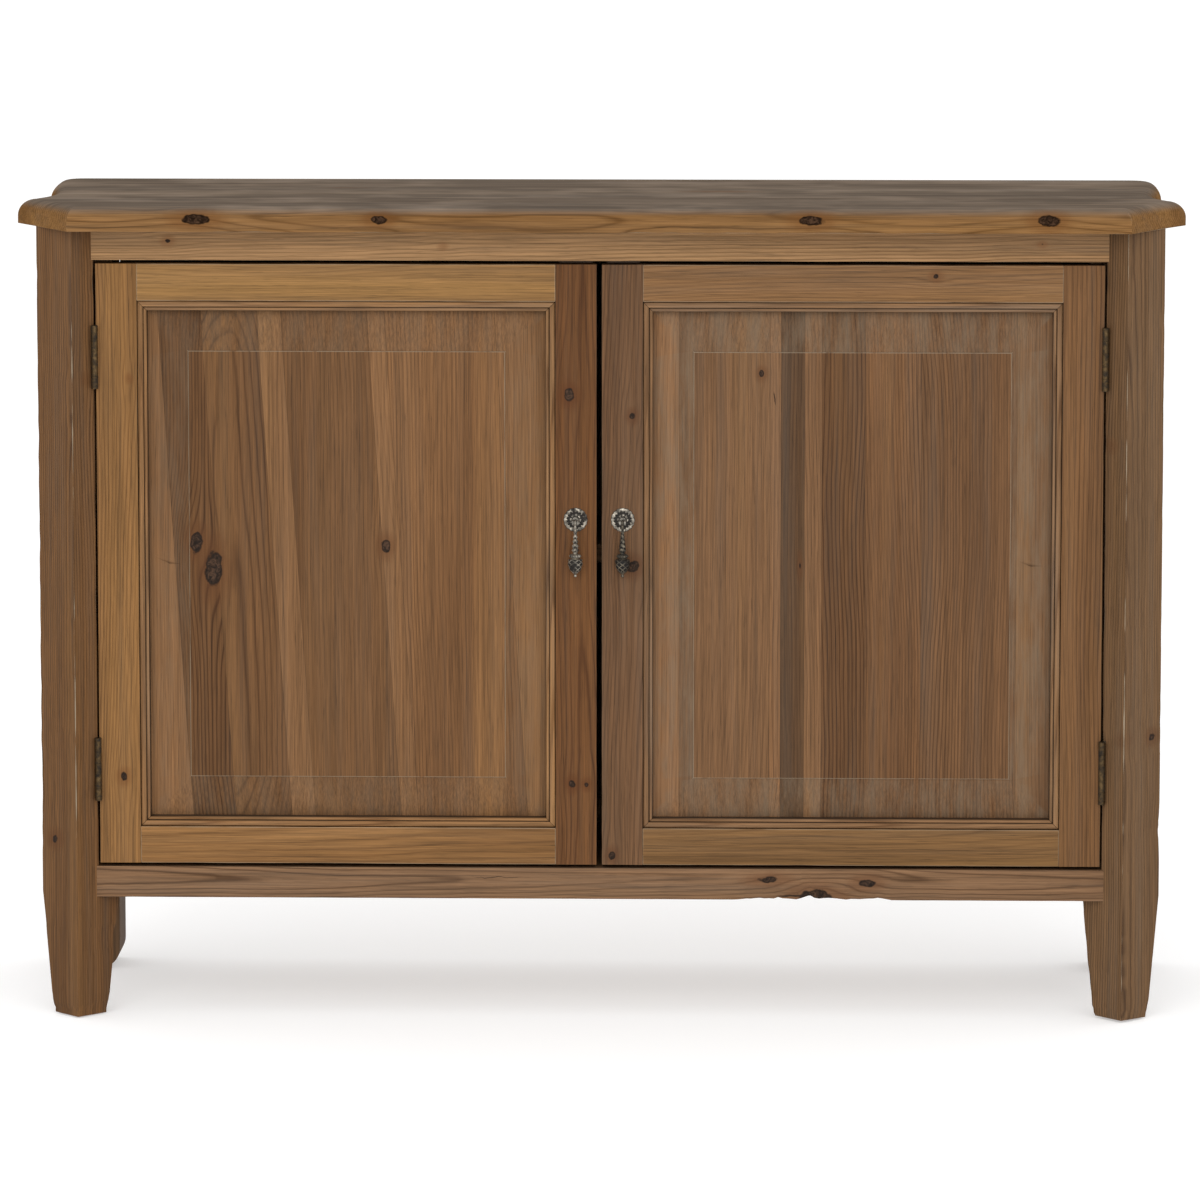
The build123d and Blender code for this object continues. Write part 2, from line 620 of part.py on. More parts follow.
with BuildPart() as door_panel:
    with BuildSketch(panel_plane(TONGUE_BACK)):
        Rectangle(panel_wide, panel_high)
    extrude(amount=TONGUE_BACK - TONGUE_FRONT - LIP)
    with BuildSketch(panel_plane(TONGUE_FRONT + LIP)):
        Rectangle(field_wide + 2 * BEVEL, field_high + 2 * BEVEL)
    with BuildSketch(panel_plane(FIELD_Y + FIELD_STEP)):
        Rectangle(field_wide, field_high)
    loft()
    with BuildSketch(panel_plane(FIELD_Y + FIELD_STEP)):
        Rectangle(field_wide, field_high)
    extrude(amount=FIELD_STEP)
write_pair(door_panel, "door_panel")

with BuildPart() as moulding:
    with BuildSketch(Plane.XZ.offset(-MOULD_FRONT)):
        with Locations(panel_mid):
            Rectangle(frame_x[1] - frame_x[0], frame_z[1] - frame_z[0])
            Rectangle(
                frame_x[1] - frame_x[0] - 2 * MOULD,
                frame_z[1] - frame_z[0] - 2 * MOULD,
                mode=Mode.SUBTRACT,
            )
    extrude(amount=-(TONGUE_FRONT - MOULD_FRONT))
    front_face = moulding.faces().sort_by(Axis.Y)[0]
    fillet(front_face.inner_wires()[0].edges(), MOULD_ROUND)
    fillet(moulding.faces().sort_by(Axis.Y)[0].outer_wire().edges(), MOULD_QUIRK)
    for x, z, turn in (
        (frame_x[0], frame_z[0], 45),
        (frame_x[1], frame_z[0], -45),
        (frame_x[0], frame_z[1], -45),
        (frame_x[1], frame_z[1], 45),
    ):
        with Locations(Location((x, MOULD_FRONT, z), (0, turn, 0))):
            Box(MITRE_GAP, MITRE_CUT, MITRE_CUT, mode=Mode.SUBTRACT)
write_pair(moulding, "door_moulding")

# ---- Drop pulls: plate, stud with a fork, pin, nut behind the stile, and the hanging drop ----------

plate_front = FACE_Y - PLATE_THICK
with BuildPart() as pull_plate:
    with BuildSketch(Plane(origin=(PULL_X, FACE_Y, PLATE_Z), x_dir=(1, 0, 0), z_dir=(0, -1, 0))):
        Circle(DISC_R)
        with PolarLocations(PLATE_R - LOBE_R, LOBES):
            Circle(LOBE_R)
    extrude(amount=PLATE_THICK)
    with Locations(Plane(origin=(PULL_X, plate_front, PLATE_Z), z_dir=(0, -1, 0))):
        Cone(BOSS_R, BOSS_TOP_R, BOSS, align=(Align.CENTER, Align.CENTER, Align.MIN))
    bore_long = 2 * (PLATE_THICK + BOSS)
    rod((PULL_X, FACE_Y, PLATE_Z), (0, -1, 0), STUD_R + SCREW_FREE, bore_long, Mode.SUBTRACT)
write_pair(pull_plate, "pull_backplate")

with BuildPart() as pull_stud:
    stud_long = DOOR_BACK + STUD_PAST - plate_front + BOSS
    rod((PULL_X, DOOR_BACK + STUD_PAST, PLATE_Z), (0, -1, 0), STUD_R, stud_long)
    rod((PULL_X, plate_front - BOSS, PLATE_Z), (0, -1, 0), FORK_R, NECK_LONG)
    neck_end = plate_front - BOSS - NECK_LONG
    for near, far in ((CHEEK_IN, CHEEK_IN + CHEEK), (-CHEEK_IN - CHEEK, -CHEEK_IN)):
        x = (PULL_X + near, PULL_X + far)
        block(x, (neck_end, PIVOT_Y), (PIVOT_Z - CHEEK_R, PIVOT_Z + CHEEK_R))
        rod((x[0], PIVOT_Y, PIVOT_Z), (1, 0, 0), CHEEK_R, CHEEK)
    rod((PULL_X - EYE_CUT, PIVOT_Y, PIVOT_Z), (1, 0, 0), PULL_PIN_R, 2 * EYE_CUT, Mode.SUBTRACT)
write_pair(pull_stud, "pull_stud")

with BuildPart() as pull_pin:
    pin_half = CHEEK_IN + CHEEK
    rod((PULL_X - pin_half, PIVOT_Y, PIVOT_Z), (1, 0, 0), PULL_PIN_R, 2 * pin_half)
write_pair(pull_pin, "pull_pin")

with BuildPart() as pull_nut:
    with BuildSketch(Plane(origin=(PULL_X, DOOR_BACK, PLATE_Z), z_dir=(0, 1, 0))):
        RegularPolygon(NUT_R, 6)
        Circle(STUD_R + SCREW_FREE, mode=Mode.SUBTRACT)
    extrude(amount=NUT_THICK)
write_pair(pull_nut, "pull_nut")

with BuildPart() as pull_drop:
    with BuildSketch(Plane(origin=(PULL_X, PIVOT_Y, PIVOT_Z), x_dir=(1, 0, 0), z_dir=(0, -1, 0))):
        with BuildLine():
            Polyline((0, -2), (1.5, -2), (1.5, -5), (2.2, -12), (4.2, -30), (3.2, -33), (6.6, -36))
            Line((6.6, -36), (6.6, -39.5))
            Line((6.6, -39.5), (8.6, -41))
            Spline((8.6, -41), (8.2, -46), (5, -53), (1.6, -56.5))
            Polyline((1.6, -56.5), (1.6, -57.2), (0, -57.2), (0, -2))
        make_face()
    revolve(axis=Axis((PULL_X, PIVOT_Y, 0), (0, 0, 1)))
    with Locations((PULL_X, PIVOT_Y, PIVOT_Z - FINIAL_DROP)):
        Sphere(FINIAL_R)
    rod((PULL_X - EYE_WIDE / 2, PIVOT_Y, PIVOT_Z), (1, 0, 0), EYE_R, EYE_WIDE)
    bore_start = (PULL_X - EYE_CUT, PIVOT_Y, PIVOT_Z)
    rod(bore_start, (1, 0, 0), PULL_PIN_R + PIN_FREE, 2 * EYE_CUT, Mode.SUBTRACT)
write_pair(pull_drop, "pull_drop")
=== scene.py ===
import json
import math
import random

import bmesh
import bpy
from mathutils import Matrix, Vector, noise


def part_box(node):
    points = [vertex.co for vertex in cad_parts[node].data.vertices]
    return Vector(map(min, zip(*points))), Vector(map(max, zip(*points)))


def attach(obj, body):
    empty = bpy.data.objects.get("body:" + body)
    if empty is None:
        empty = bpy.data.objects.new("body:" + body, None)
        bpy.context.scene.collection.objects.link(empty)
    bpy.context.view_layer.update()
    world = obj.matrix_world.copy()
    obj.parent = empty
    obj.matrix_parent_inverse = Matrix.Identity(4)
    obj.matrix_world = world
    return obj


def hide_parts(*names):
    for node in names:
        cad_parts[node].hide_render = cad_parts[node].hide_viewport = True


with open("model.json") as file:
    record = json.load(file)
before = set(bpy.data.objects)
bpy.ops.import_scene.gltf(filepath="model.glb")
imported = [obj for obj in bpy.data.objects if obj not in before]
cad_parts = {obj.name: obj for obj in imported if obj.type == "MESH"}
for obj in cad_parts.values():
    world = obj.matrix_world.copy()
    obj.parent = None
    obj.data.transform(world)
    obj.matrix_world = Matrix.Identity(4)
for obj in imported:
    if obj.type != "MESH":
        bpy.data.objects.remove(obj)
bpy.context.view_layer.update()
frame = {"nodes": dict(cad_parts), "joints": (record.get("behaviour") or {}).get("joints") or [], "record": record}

# Two-door pine sideboard. Metres, +Z up, the front faces -Y. Boards keep their CAD shape with worn
# edges; mouldings and pulls are built here in full.

MM = 0.001
SEAM = 0.5 * MM  # half the width of a glue line between staves
BOARD_SHEEN = 0.12  # Specular IOR Level of waxed wood; a weathered top has none
GRAIN_RELIEF = 0.6 * MM
RECORD = frame["record"]
SLOT_OF = {part["node"]: part["material_slot"] for part in RECORD["subparts"]}
BODY_OF = {node: body for body, nodes in RECORD["behaviour"]["bodies"].items() for node in nodes}
JOINTS = {joint["name"]: joint for joint in frame["joints"]}


# ---- Small helpers ---------------------------------------------------------------------------------


def srgb(red, green, blue):
    """A colour given in 0 to 255 display values, as linear RGBA."""
    linear = []
    for value in (red, green, blue):
        value /= 255
        linear.append(value / 12.92 if value <= 0.04045 else ((value + 0.055) / 1.055) ** 2.4)
    return (*linear, 1.0)


def scaled(colour, factor):
    """The colour made lighter or darker."""
    return (*[min(1.0, channel * factor) for channel in colour[:3]], 1.0)


DUST = srgb(112, 96, 78)
# Colour of the painted shade in the moulding's recesses and of the grime in its worn dents.
SHADE_AND_GRIME = srgb(34, 24, 17)
SPLIT = srgb(34, 23, 16)
KNOT_DARK, KNOT_PALE = srgb(27, 18, 12), srgb(72, 52, 38)
KNOT_PITH, KNOT_RIM = srgb(18, 12, 9), srgb(24, 16, 11)
COOL_TINT, WARM_TINT = (0.95, 1.0, 1.1, 1), (1.07, 0.96, 0.84, 1)


def new_piece(name, mesh, node, material):
    """Links a mesh as a piece that stands for a CAD node and moves with its body."""
    piece = bpy.data.objects.new(name, mesh)
    bpy.context.scene.collection.objects.link(piece)
    mesh.materials.clear()
    mesh.materials.append(material)
    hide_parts(node)
    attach(piece, BODY_OF[node])
    return piece


def smooth(mesh, angle=35):
    """Smooth shading with every edge over the angle kept sharp."""
    mesh.polygons.foreach_set("use_smooth", [True] * len(mesh.polygons))
    mesh.set_sharp_from_angle(angle=math.radians(angle))
    mesh.update()


# ---- Shader building -------------------------------------------------------------------------------


class Tree:
    """Adds nodes to one node tree; inputs are given as sockets or as plain values."""

    def __init__(self, tree):
        self.tree = tree

    def put(self, socket, value):
        if isinstance(value, bpy.types.NodeSocket):
            self.tree.links.new(value, socket)
        else:
            socket.default_value = value

    def add(self, kind, inputs=None, **settings):
        node = self.tree.nodes.new(kind)
        for key, value in settings.items():
            setattr(node, key, value)
        for key, value in (inputs or {}).items():
            self.put(node.inputs[key], value)
        return node

    def math(self, operation, first, second=0.0, third=0.0, clamp=False):
        node = self.add("ShaderNodeMath", operation=operation, use_clamp=clamp)
        for index, value in enumerate((first, second, third)):
            self.put(node.inputs[index], value)
        return node.outputs[0]

    def vector(self, operation, first, second=(0, 0, 0)):
        node = self.add("ShaderNodeVectorMath", operation=operation)
        self.put(node.inputs[0], first)
        if operation == "SCALE":
            self.put(node.inputs["Scale"], second)
        elif operation != "LENGTH":
            self.put(node.inputs[1], second)
        return node.outputs["Value" if operation == "LENGTH" else "Vector"]

    def between(self, value, low, high, out_low=0.0, out_high=1.0, smooth_step=True):
        kind = "SMOOTHSTEP" if smooth_step else "LINEAR"
        node = self.add("ShaderNodeMapRange", interpolation_type=kind)
        for index, number in enumerate((value, low, high, out_low, out_high)):
            self.put(node.inputs[index], number)
        return node.outputs[0]

    def mix(self, factor, first, second, blend="MIX"):
        node = self.add("ShaderNodeMix", data_type="RGBA", blend_type=blend)
        self.put(node.inputs[0], factor)
        self.put(node.inputs[6], first)
        self.put(node.inputs[7], second)
        return node.outputs[2]

    def pick(self, factor, first, second):
        """A number between first and second."""
        return self.add("ShaderNodeMix", {0: factor, 2: first, 3: second}).outputs[0]

    def grey(self, value):
        """A grey colour from one number."""
        return self.add("ShaderNodeCombineColor", {0: value, 1: value, 2: value}).outputs[0]

    def noise(self, vector, scale=1.0, detail=2.0, roughness=0.5, distortion=0.0):
        values = {
            "Vector": vector,
            "Scale": scale,
            "Detail": detail,
            "Roughness": roughness,
            "Distortion": distortion,
        }
        return self.add("ShaderNodeTexNoise", values).outputs["Fac"]

    def curve(self, value, *stops):
        """A grey ramp through (position, value) stops."""
        node = self.add("ShaderNodeValToRGB", {"Fac": value})
        ramp = node.color_ramp
        ramp.interpolation = "EASE"
        while len(ramp.elements) < len(stops):
            ramp.elements.new(0.5)
        for element, (position, level) in zip(ramp.elements, stops):
            element.position = position
            element.color = (level, level, level, 1)
        return node.outputs[0]


def fresh_material(name, roughness=0.6):
    """A node material with one Principled shader, its tree helper and its shader node."""
    material = bpy.data.materials.new(name)
    material.use_nodes = True
    material.node_tree.nodes.clear()
    tree = Tree(material.node_tree)
    shader = tree.add("ShaderNodeBsdfPrincipled", {"Roughness": roughness})
    output = tree.add("ShaderNodeOutputMaterial")
    tree.tree.links.new(shader.outputs[0], output.inputs[0])
    return material, tree, shader


def knot_group():
    """A node group that gives, for a point in board space, a knot's push on the rings and its mask."""
    group = bpy.data.node_groups.new("Knot", "ShaderNodeTree")
    sockets = (
        ("Point", "Vector"),
        ("Centre", "Vector"),
        ("Radius", "Float"),
        ("Squeeze", "Float"),
        ("Through", "Float"),
    )
    for name, kind in sockets:
        group.interface.new_socket(name, in_out="INPUT", socket_type="NodeSocket" + kind)
    for name in ("Push", "Mask", "Halo", "Core"):
        group.interface.new_socket(name, in_out="OUTPUT", socket_type="NodeSocketFloat")
    tree = Tree(group)
    given = tree.add("NodeGroupInput").outputs
    away = tree.vector("SUBTRACT", given["Point"], given["Centre"])
    ragged = tree.noise(tree.vector("SCALE", given["Point"], 110.0), 1.0, 3.0)
    shape = {0: given["Squeeze"], 1: 1.0, 2: given["Through"]}
    oval = tree.vector("MULTIPLY", away, tree.add("ShaderNodeCombineXYZ", shape).outputs[0])
    reach = tree.math("DIVIDE", tree.vector("LENGTH", oval), given["Radius"])
    ragged_reach = tree.math("MULTIPLY_ADD", ragged, 0.9, tree.math("SUBTRACT", reach, 0.45))
    long_way = tree.vector("MULTIPLY", away, (0.36, 1.0, 0.25))
    wide = tree.math("MULTIPLY", given["Radius"], 2.6)
    far = tree.math("DIVIDE", tree.vector("LENGTH", long_way), wide)
    bell = tree.math("EXPONENT", tree.math("MULTIPLY", tree.math("POWER", far, 2.0), -1.0))
    across = tree.add("ShaderNodeSeparateXYZ", {0: away}).outputs[1]
    push = tree.math("MULTIPLY", tree.math("MULTIPLY", across, bell), -0.82)
    result = tree.add("NodeGroupOutput")
    tree.put(result.inputs["Push"], push)
    tree.put(result.inputs["Mask"], tree.between(ragged_reach, 1.0, 0.78))
    tree.put(result.inputs["Halo"], tree.between(ragged_reach, 2.6, 0.9))
    tree.put(result.inputs["Core"], ragged_reach)
    return group


KNOT = knot_group()
GRAIN_AXES = {  # along the grain, across the face, into the board
    "upright": ("Z", "X", "Y"),
    "level": ("X", "Z", "Y"),
    "flat": ("X", "Y", "Z"),
    "deep": ("Y", "Z", "X"),
    "side": ("Z", "Y", "X"),
}


def pine(
    name,
    low,
    high,
    grain,
    tone,
    seed,
    late=0.42,
    ring=3.6,
    pith=(0.02, 0.09),
    contrast=0.9,
    grey=0.25,
    knots=(),
    staves=(),
    checks=(),
    crown=None,
    rough=0.7,
    wear=0.35,
    lean=0.0,
    dust=0.0,
):
    """Old waxed pine for one board.

    low and high are the board's corners, grain a key of GRAIN_AXES, and tone the colour of its early
    wood. pith is where the tree's middle lies, across and into the board from its centre, and ring is
    the width of a year in millimetres. late is how dark the year lines are against the early wood,
    contrast how fully they show, and grey how much of a dull bloom lies over the board.

    Knots are (along, across, radius mm, squeeze): the first two go from -1 to 1 over the board, and a
    squeeze under 1 lengthens the knot along the grain. Staves are (right edge from 0 to 1, brightness,
    warmth, strength of the year lines) across a glued-up board, and lean slopes their joints. Checks
    are dark splits, (along, across, length mm, width mm).

    crown is the colour that faces turned to the sky have greyed to, dust how much pale dust lies on
    the slopes of a raised panel, and wear how strongly the rubbed edges show.
    """
    rng = random.Random(seed)
    material, tree, shader = fresh_material(name, rough)
    axes = GRAIN_AXES[grain]
    centre = [(low["XYZ".index(a)] + high["XYZ".index(a)]) / 2 for a in axes]
    half = [(high["XYZ".index(a)] - low["XYZ".index(a)]) / 2 for a in axes]
    place = tree.add("ShaderNodeTexCoord").outputs["Object"]
    parts = tree.add("ShaderNodeSeparateXYZ", {0: place}).outputs
    along, across, into = [
        tree.math("SUBTRACT", parts["XYZ".index(a)], c) for a, c in zip(axes, centre)
    ]
    point = tree.add("ShaderNodeCombineXYZ", {0: along, 1: across, 2: into}).outputs[0]

    # Staves: each has its own part of the tree, brightness, warmth and lines.
    shift, bright, warm, lined, seam = 0.0, 1.0, 0.5, 1.0, 0.0
    if staves:
        leaning = tree.math("MULTIPLY_ADD", along, lean, across)
        share = tree.between(leaning, -half[1], half[1], smooth_step=False)
        bright, warm, lined = staves[0][1:]
        for (edge, *_), (_, light, warmth, lines) in zip(staves, staves[1:]):
            step = tree.math("GREATER_THAN", share, edge)
            shift = tree.math("MULTIPLY_ADD", step, rng.uniform(0.35, 0.9), shift)
            bright = tree.pick(step, bright, light)
            warm = tree.pick(step, warm, warmth)
            lined = tree.pick(step, lined, lines)
            gap = tree.math("ABSOLUTE", tree.math("SUBTRACT", share, edge))
            seam = tree.math("MAXIMUM", seam, tree.between(gap, SEAM / 2 / half[1], 0.0))

    # Slow waves and knots push the year rings aside.
    offset = (rng.uniform(-9, 9), rng.uniform(-9, 9), rng.uniform(-9, 9))
    slid = tree.add("ShaderNodeCombineXYZ", {0: shift, 1: 0.0, 2: shift}).outputs[0]
    moved = tree.vector("ADD", tree.vector("ADD", point, offset), slid)
    bend = tree.noise(tree.vector("MULTIPLY", moved, (1.7, 5.0, 5.0)), 1.0, 2.0, 0.4)
    ripple = tree.noise(tree.vector("MULTIPLY", moved, (6.0, 22.0, 22.0)), 1.0, 2.0, 0.5)
    push = tree.math("MULTIPLY", tree.math("SUBTRACT", bend, 0.5), 50 * MM)
    push = tree.math("MULTIPLY_ADD", tree.math("SUBTRACT", ripple, 0.5), 6 * MM, push)
    knot_mask, knot_halo, knot_core = 0.0, 0.0, 5.0
    for where_along, where_across, radius, squeeze in knots:
        spot = (where_along * half[0], where_across * half[1], 0.0)
        knot = tree.add("ShaderNodeGroup", node_tree=KNOT)
        values = {
            "Point": point,
            "Centre": spot,
            "Radius": radius * MM,
            "Squeeze": squeeze,
            "Through": 0.95 if crown else 0.25,
        }
        for key, value in values.items():
            tree.put(knot.inputs[key], value)
        push = tree.math("ADD", push, knot.outputs["Push"])
        knot_mask = tree.math("MAXIMUM", knot_mask, knot.outputs["Mask"])
        knot_halo = tree.math("MAXIMUM", knot_halo, knot.outputs["Halo"])
        knot_core = tree.math("MINIMUM", knot_core, knot.outputs["Core"])

    # Year rings: distance from the pith, counted in years.
    side = tree.math("ADD", tree.math("ADD", across, push), -pith[0])
    side = tree.math("ADD", side, tree.math("MULTIPLY", shift, 0.11))
    depth = tree.math("ADD", into, pith[1])
    squares = tree.math("ADD", tree.math("POWER", side, 2.0), tree.math("POWER", depth, 2.0))
    radius = tree.math("SQRT", squares)
    radius = tree.math("MULTIPLY_ADD", along, rng.uniform(0.008, 0.02), radius)
    year = tree.math("DIVIDE", radius, ring * MM)
    uneven = tree.noise(tree.vector("MULTIPLY", moved, (0.6, 30.0, 30.0)))
    year = tree.math("MULTIPLY_ADD", uneven, 1.6, year)
    within = tree.math("FRACT", year)
    line = tree.curve(within, (0.0, 0.5), (0.1, 0.12), (0.4, 0.05), (0.7, 0.25), (0.88, 1.0), (1.0, 0.5))
    strength = tree.noise(tree.vector("MULTIPLY", moved, (1.2, 16.0, 16.0)), 1.0, 1.0)
    strength = tree.between(strength, 0.3, 0.7, 0.6, 1.25)
    strength = tree.math("MULTIPLY", tree.math("MULTIPLY", strength, contrast), lined)
    line = tree.math("MULTIPLY", line, strength, clamp=True)

    # Colour: early and late wood, clouds, paler sapwood, fibres, and a dull bloom.
    late_wood = (tone[0] * late, tone[1] * late * 0.88, tone[2] * late * 0.74, 1)
    colour = tree.mix(line, tone, late_wood)
    cloud = tree.noise(tree.vector("MULTIPLY", moved, (1.1, 13.0, 13.0)), 1.0, 3.0, 0.55)
    colour = tree.mix(tree.between(cloud, 0.45, 0.75, 0.0, 0.5), colour, scaled(late_wood, 1.15))
    pale = tree.noise(tree.vector("MULTIPLY", moved, (0.8, 20.0, 20.0)), 1.0, 2.0, 0.5)
    sap = (tone[0] * 1.16, tone[1] * 1.17, tone[2] * 1.05, 1)
    colour = tree.mix(tree.between(pale, 0.5, 0.75, 0.0, 0.6), colour, sap)
    if staves:
        colour = tree.mix(1.0, colour, tree.grey(bright), "MULTIPLY")
        cool = tree.mix(1.0, colour, COOL_TINT, "MULTIPLY")
        colour = tree.mix(warm, cool, tree.mix(1.0, colour, WARM_TINT, "MULTIPLY"))
    fibre = tree.noise(tree.vector("MULTIPLY", moved, (14.0, 900.0, 900.0)), 1.0, 2.0, 0.6)
    streak = tree.noise(tree.vector("MULTIPLY", moved, (2.2, 190.0, 190.0)), 1.0, 2.0, 0.6)
    shade = tree.between(fibre, 0.25, 0.75, 0.76, 1.24)
    ducts = tree.noise(tree.vector("MULTIPLY", moved, (38.0, 1100.0, 1100.0)), 1.0, 1.0)
    shade = tree.math("ADD", shade, tree.between(ducts, 0.62, 0.75, 0.0, -0.3))
    shade = tree.math("ADD", shade, tree.between(streak, 0.28, 0.72, -0.13, 0.13))
    colour = tree.mix(1.0, colour, tree.grey(shade), "MULTIPLY")
    patina = tree.noise(tree.vector("MULTIPLY", moved, (2.0, 60.0, 60.0)), 1.0, 4.0, 0.65)
    lum = sum(tone[:3]) / 3
    dull = (lum * 1.10, lum * 1.0, lum * 0.84, 1)
    colour = tree.mix(tree.between(patina, 0.4, 0.8, 0.0, grey), colour, dull)
    if dust:
        facing = tree.add("ShaderNodeTexCoord").outputs["Normal"]
        ahead = tree.math("ABSOLUTE", tree.add("ShaderNodeSeparateXYZ", {0: facing}).outputs[1])
        patch = tree.noise(tree.vector("MULTIPLY", point, (12.0, 60.0, 1.0)), 1.0, 5.0, 0.7)
        haze = tree.math("MULTIPLY", tree.between(ahead, 0.998, 0.992), tree.between(patch, 0.3, 0.75))
        colour = tree.mix(tree.math("MULTIPLY", haze, dust), colour, DUST)
    if crown:
        facing = tree.add("ShaderNodeNewGeometry").outputs["Normal"]
        up = tree.add("ShaderNodeSeparateXYZ", {0: facing}).outputs[2]
        scratch = tree.noise(tree.vector("MULTIPLY", moved, (3.0, 130.0, 1.0)), 1.0, 4.0, 0.7)
        scuff = tree.noise(tree.vector("MULTIPLY", moved, (7.0, 12.0, 1.0)), 1.0, 3.0, 0.6)
        worn_level = tree.between(scratch, 0.35, 0.65, 0.68, 1.06)
        worn_level = tree.math("ADD", worn_level, tree.between(scuff, 0.4, 0.7, 0.0, 0.5))
        greyed = tree.mix(1.0, tree.mix(0.7, colour, crown), tree.grey(worn_level), "MULTIPLY")
        colour = tree.mix(tree.between(up, 0.45, 0.98), colour, greyed)
    # Dark marks: glue lines, knots, splits, and the moulding's painted recess shade and grime.
    if staves:
        colour = tree.mix(tree.math("MULTIPLY", seam, 0.5), colour, scaled(tone, 0.3))
    if knots:
        stain = (tone[0] * 0.6, tone[1] * 0.44, tone[2] * 0.34, 1)
        colour = tree.mix(tree.math("MULTIPLY", knot_halo, 0.5), colour, stain)
        ash = tree.noise(tree.vector("SCALE", point, 170.0), 1.0, 4.0, 0.6, 1.5)
        heart = tree.mix(tree.between(ash, 0.35, 0.72), KNOT_DARK, KNOT_PALE)
        heart = tree.mix(tree.between(knot_core, 0.25, 0.05), heart, KNOT_PITH)
        heart = tree.mix(tree.between(knot_core, 0.55, 0.9), heart, KNOT_RIM)
        colour = tree.mix(knot_mask, colour, heart)
    for where_along, where_across, length, width in checks:
        off = tree.vector("SUBTRACT", point, (where_along * half[0], where_across * half[1], 0.0))
        wobble = tree.noise(tree.vector("MULTIPLY", point, (60.0, 60.0, 60.0)), 1.0, 3.0)
        sway = tree.add("ShaderNodeCombineXYZ", {0: 0.0, 1: wobble, 2: 0.0}).outputs[0]
        sway = tree.vector("SCALE", tree.vector("SUBTRACT", sway, (0, 0.5, 0)), 6 * MM)
        off = tree.vector("ADD", off, sway)
        size = (2 / (length * MM), 2 / (width * MM), 0.0)
        split = tree.between(tree.vector("LENGTH", tree.vector("MULTIPLY", off, size)), 1.1, 0.7)
        colour = tree.mix(tree.math("MULTIPLY", split, 0.85), colour, SPLIT)
    # Painted shade: the moulding's deep quirk, step and panel edge turn dark as if shaded; its worn dents get
    # grime.
    darkening = tree.add("ShaderNodeAttribute", attribute_name="darkening").outputs["Fac"]
    colour = tree.mix(tree.math("MULTIPLY", darkening, 0.8), colour, SHADE_AND_GRIME)
    # Edges rubbed pale, then gloss and relief.
    edge = tree.add("ShaderNodeAttribute", attribute_name="worn").outputs["Fac"]
    rub = tree.noise(tree.vector("MULTIPLY", moved, (18.0, 60.0, 60.0)), 1.0, 4.0, 0.65)
    rubbed = tree.math("MULTIPLY", tree.math("MULTIPLY", edge, tree.between(rub, 0.25, 0.5)), wear)
    colour = tree.mix(rubbed, colour, (min(1, lum * 3.3), lum * 2.6, lum * 1.8, 1))
    tree.put(shader.inputs["Base Color"], colour)
    gloss = tree.math("MULTIPLY_ADD", fibre, 0.18, rough - 0.09)
    gloss = tree.math("MULTIPLY_ADD", line, -0.12, gloss)
    tree.put(shader.inputs["Roughness"], gloss)
    shader.inputs["Specular IOR Level"].default_value = 0.0 if crown else BOARD_SHEEN
    grooves = tree.math("MULTIPLY_ADD", line, 0.5, tree.math("MULTIPLY", fibre, 0.35))
    grooves = tree.math("MULTIPLY_ADD", streak, 0.3, grooves)
    bump = tree.add("ShaderNodeBump", {"Strength": 0.35, "Distance": GRAIN_RELIEF, "Height": grooves})
    tree.put(shader.inputs["Normal"], bump.outputs[0])
    return material


def metal(name, bright, dark, rough, relief=None, darkening=0.5):
    """Cast or plated metal: bright where it is rubbed, dark in its hollows."""
    material, tree, shader = fresh_material(name, rough)
    place = tree.add("ShaderNodeTexCoord").outputs["Object"]
    coarse = tree.noise(place, 160.0, 4.0, 0.6)
    fine = tree.noise(place, 900.0, 3.0, 0.6)
    level = tree.between(coarse, 0.3, 0.7, 0.0, darkening)
    if relief:
        height = tree.add("ShaderNodeAttribute", attribute_name=relief).outputs["Fac"]
        hollow = tree.between(height, 0.75, 0.15)
        level = tree.math("MAXIMUM", hollow, tree.math("MULTIPLY", level, 1.3))
    level = tree.math("MULTIPLY_ADD", tree.math("SUBTRACT", fine, 0.5), 0.3, level, clamp=True)
    tree.put(shader.inputs["Base Color"], tree.mix(level, bright, dark))
    tree.put(shader.inputs["Roughness"], tree.between(level, 0.0, 1.0, rough, min(1.0, rough + 0.3)))
    tree.put(shader.inputs["Metallic"], tree.between(level, 0.2, 1.0, 1.0, 0.55))
    bump = tree.add("ShaderNodeBump", {"Strength": 0.3, "Distance": 0.0003, "Height": coarse})
    tree.put(shader.inputs["Normal"], bump.outputs[0])
    return material


def moulded(name, colour):
    """Brown moulded plastic with a fine grain."""
    material, tree, shader = fresh_material(name, 0.5)
    place = tree.add("ShaderNodeTexCoord").outputs["Object"]
    grain = tree.noise(place, 1400.0, 2.0)
    tone = tree.mix(tree.between(grain, 0.3, 0.7, 0.0, 0.35), colour, scaled(colour, 0.6))
    tree.put(shader.inputs["Base Color"], tone)
    tree.put(shader.inputs["Roughness"], tree.between(grain, 0.3, 0.7, 0.42, 0.6))
    bump = tree.add("ShaderNodeBump", {"Strength": 0.2, "Distance": 0.0002, "Height": grain})
    tree.put(shader.inputs["Normal"], bump.outputs[0])
    return material


# ---- Worn boards -----------------------------------------------------------------------------------


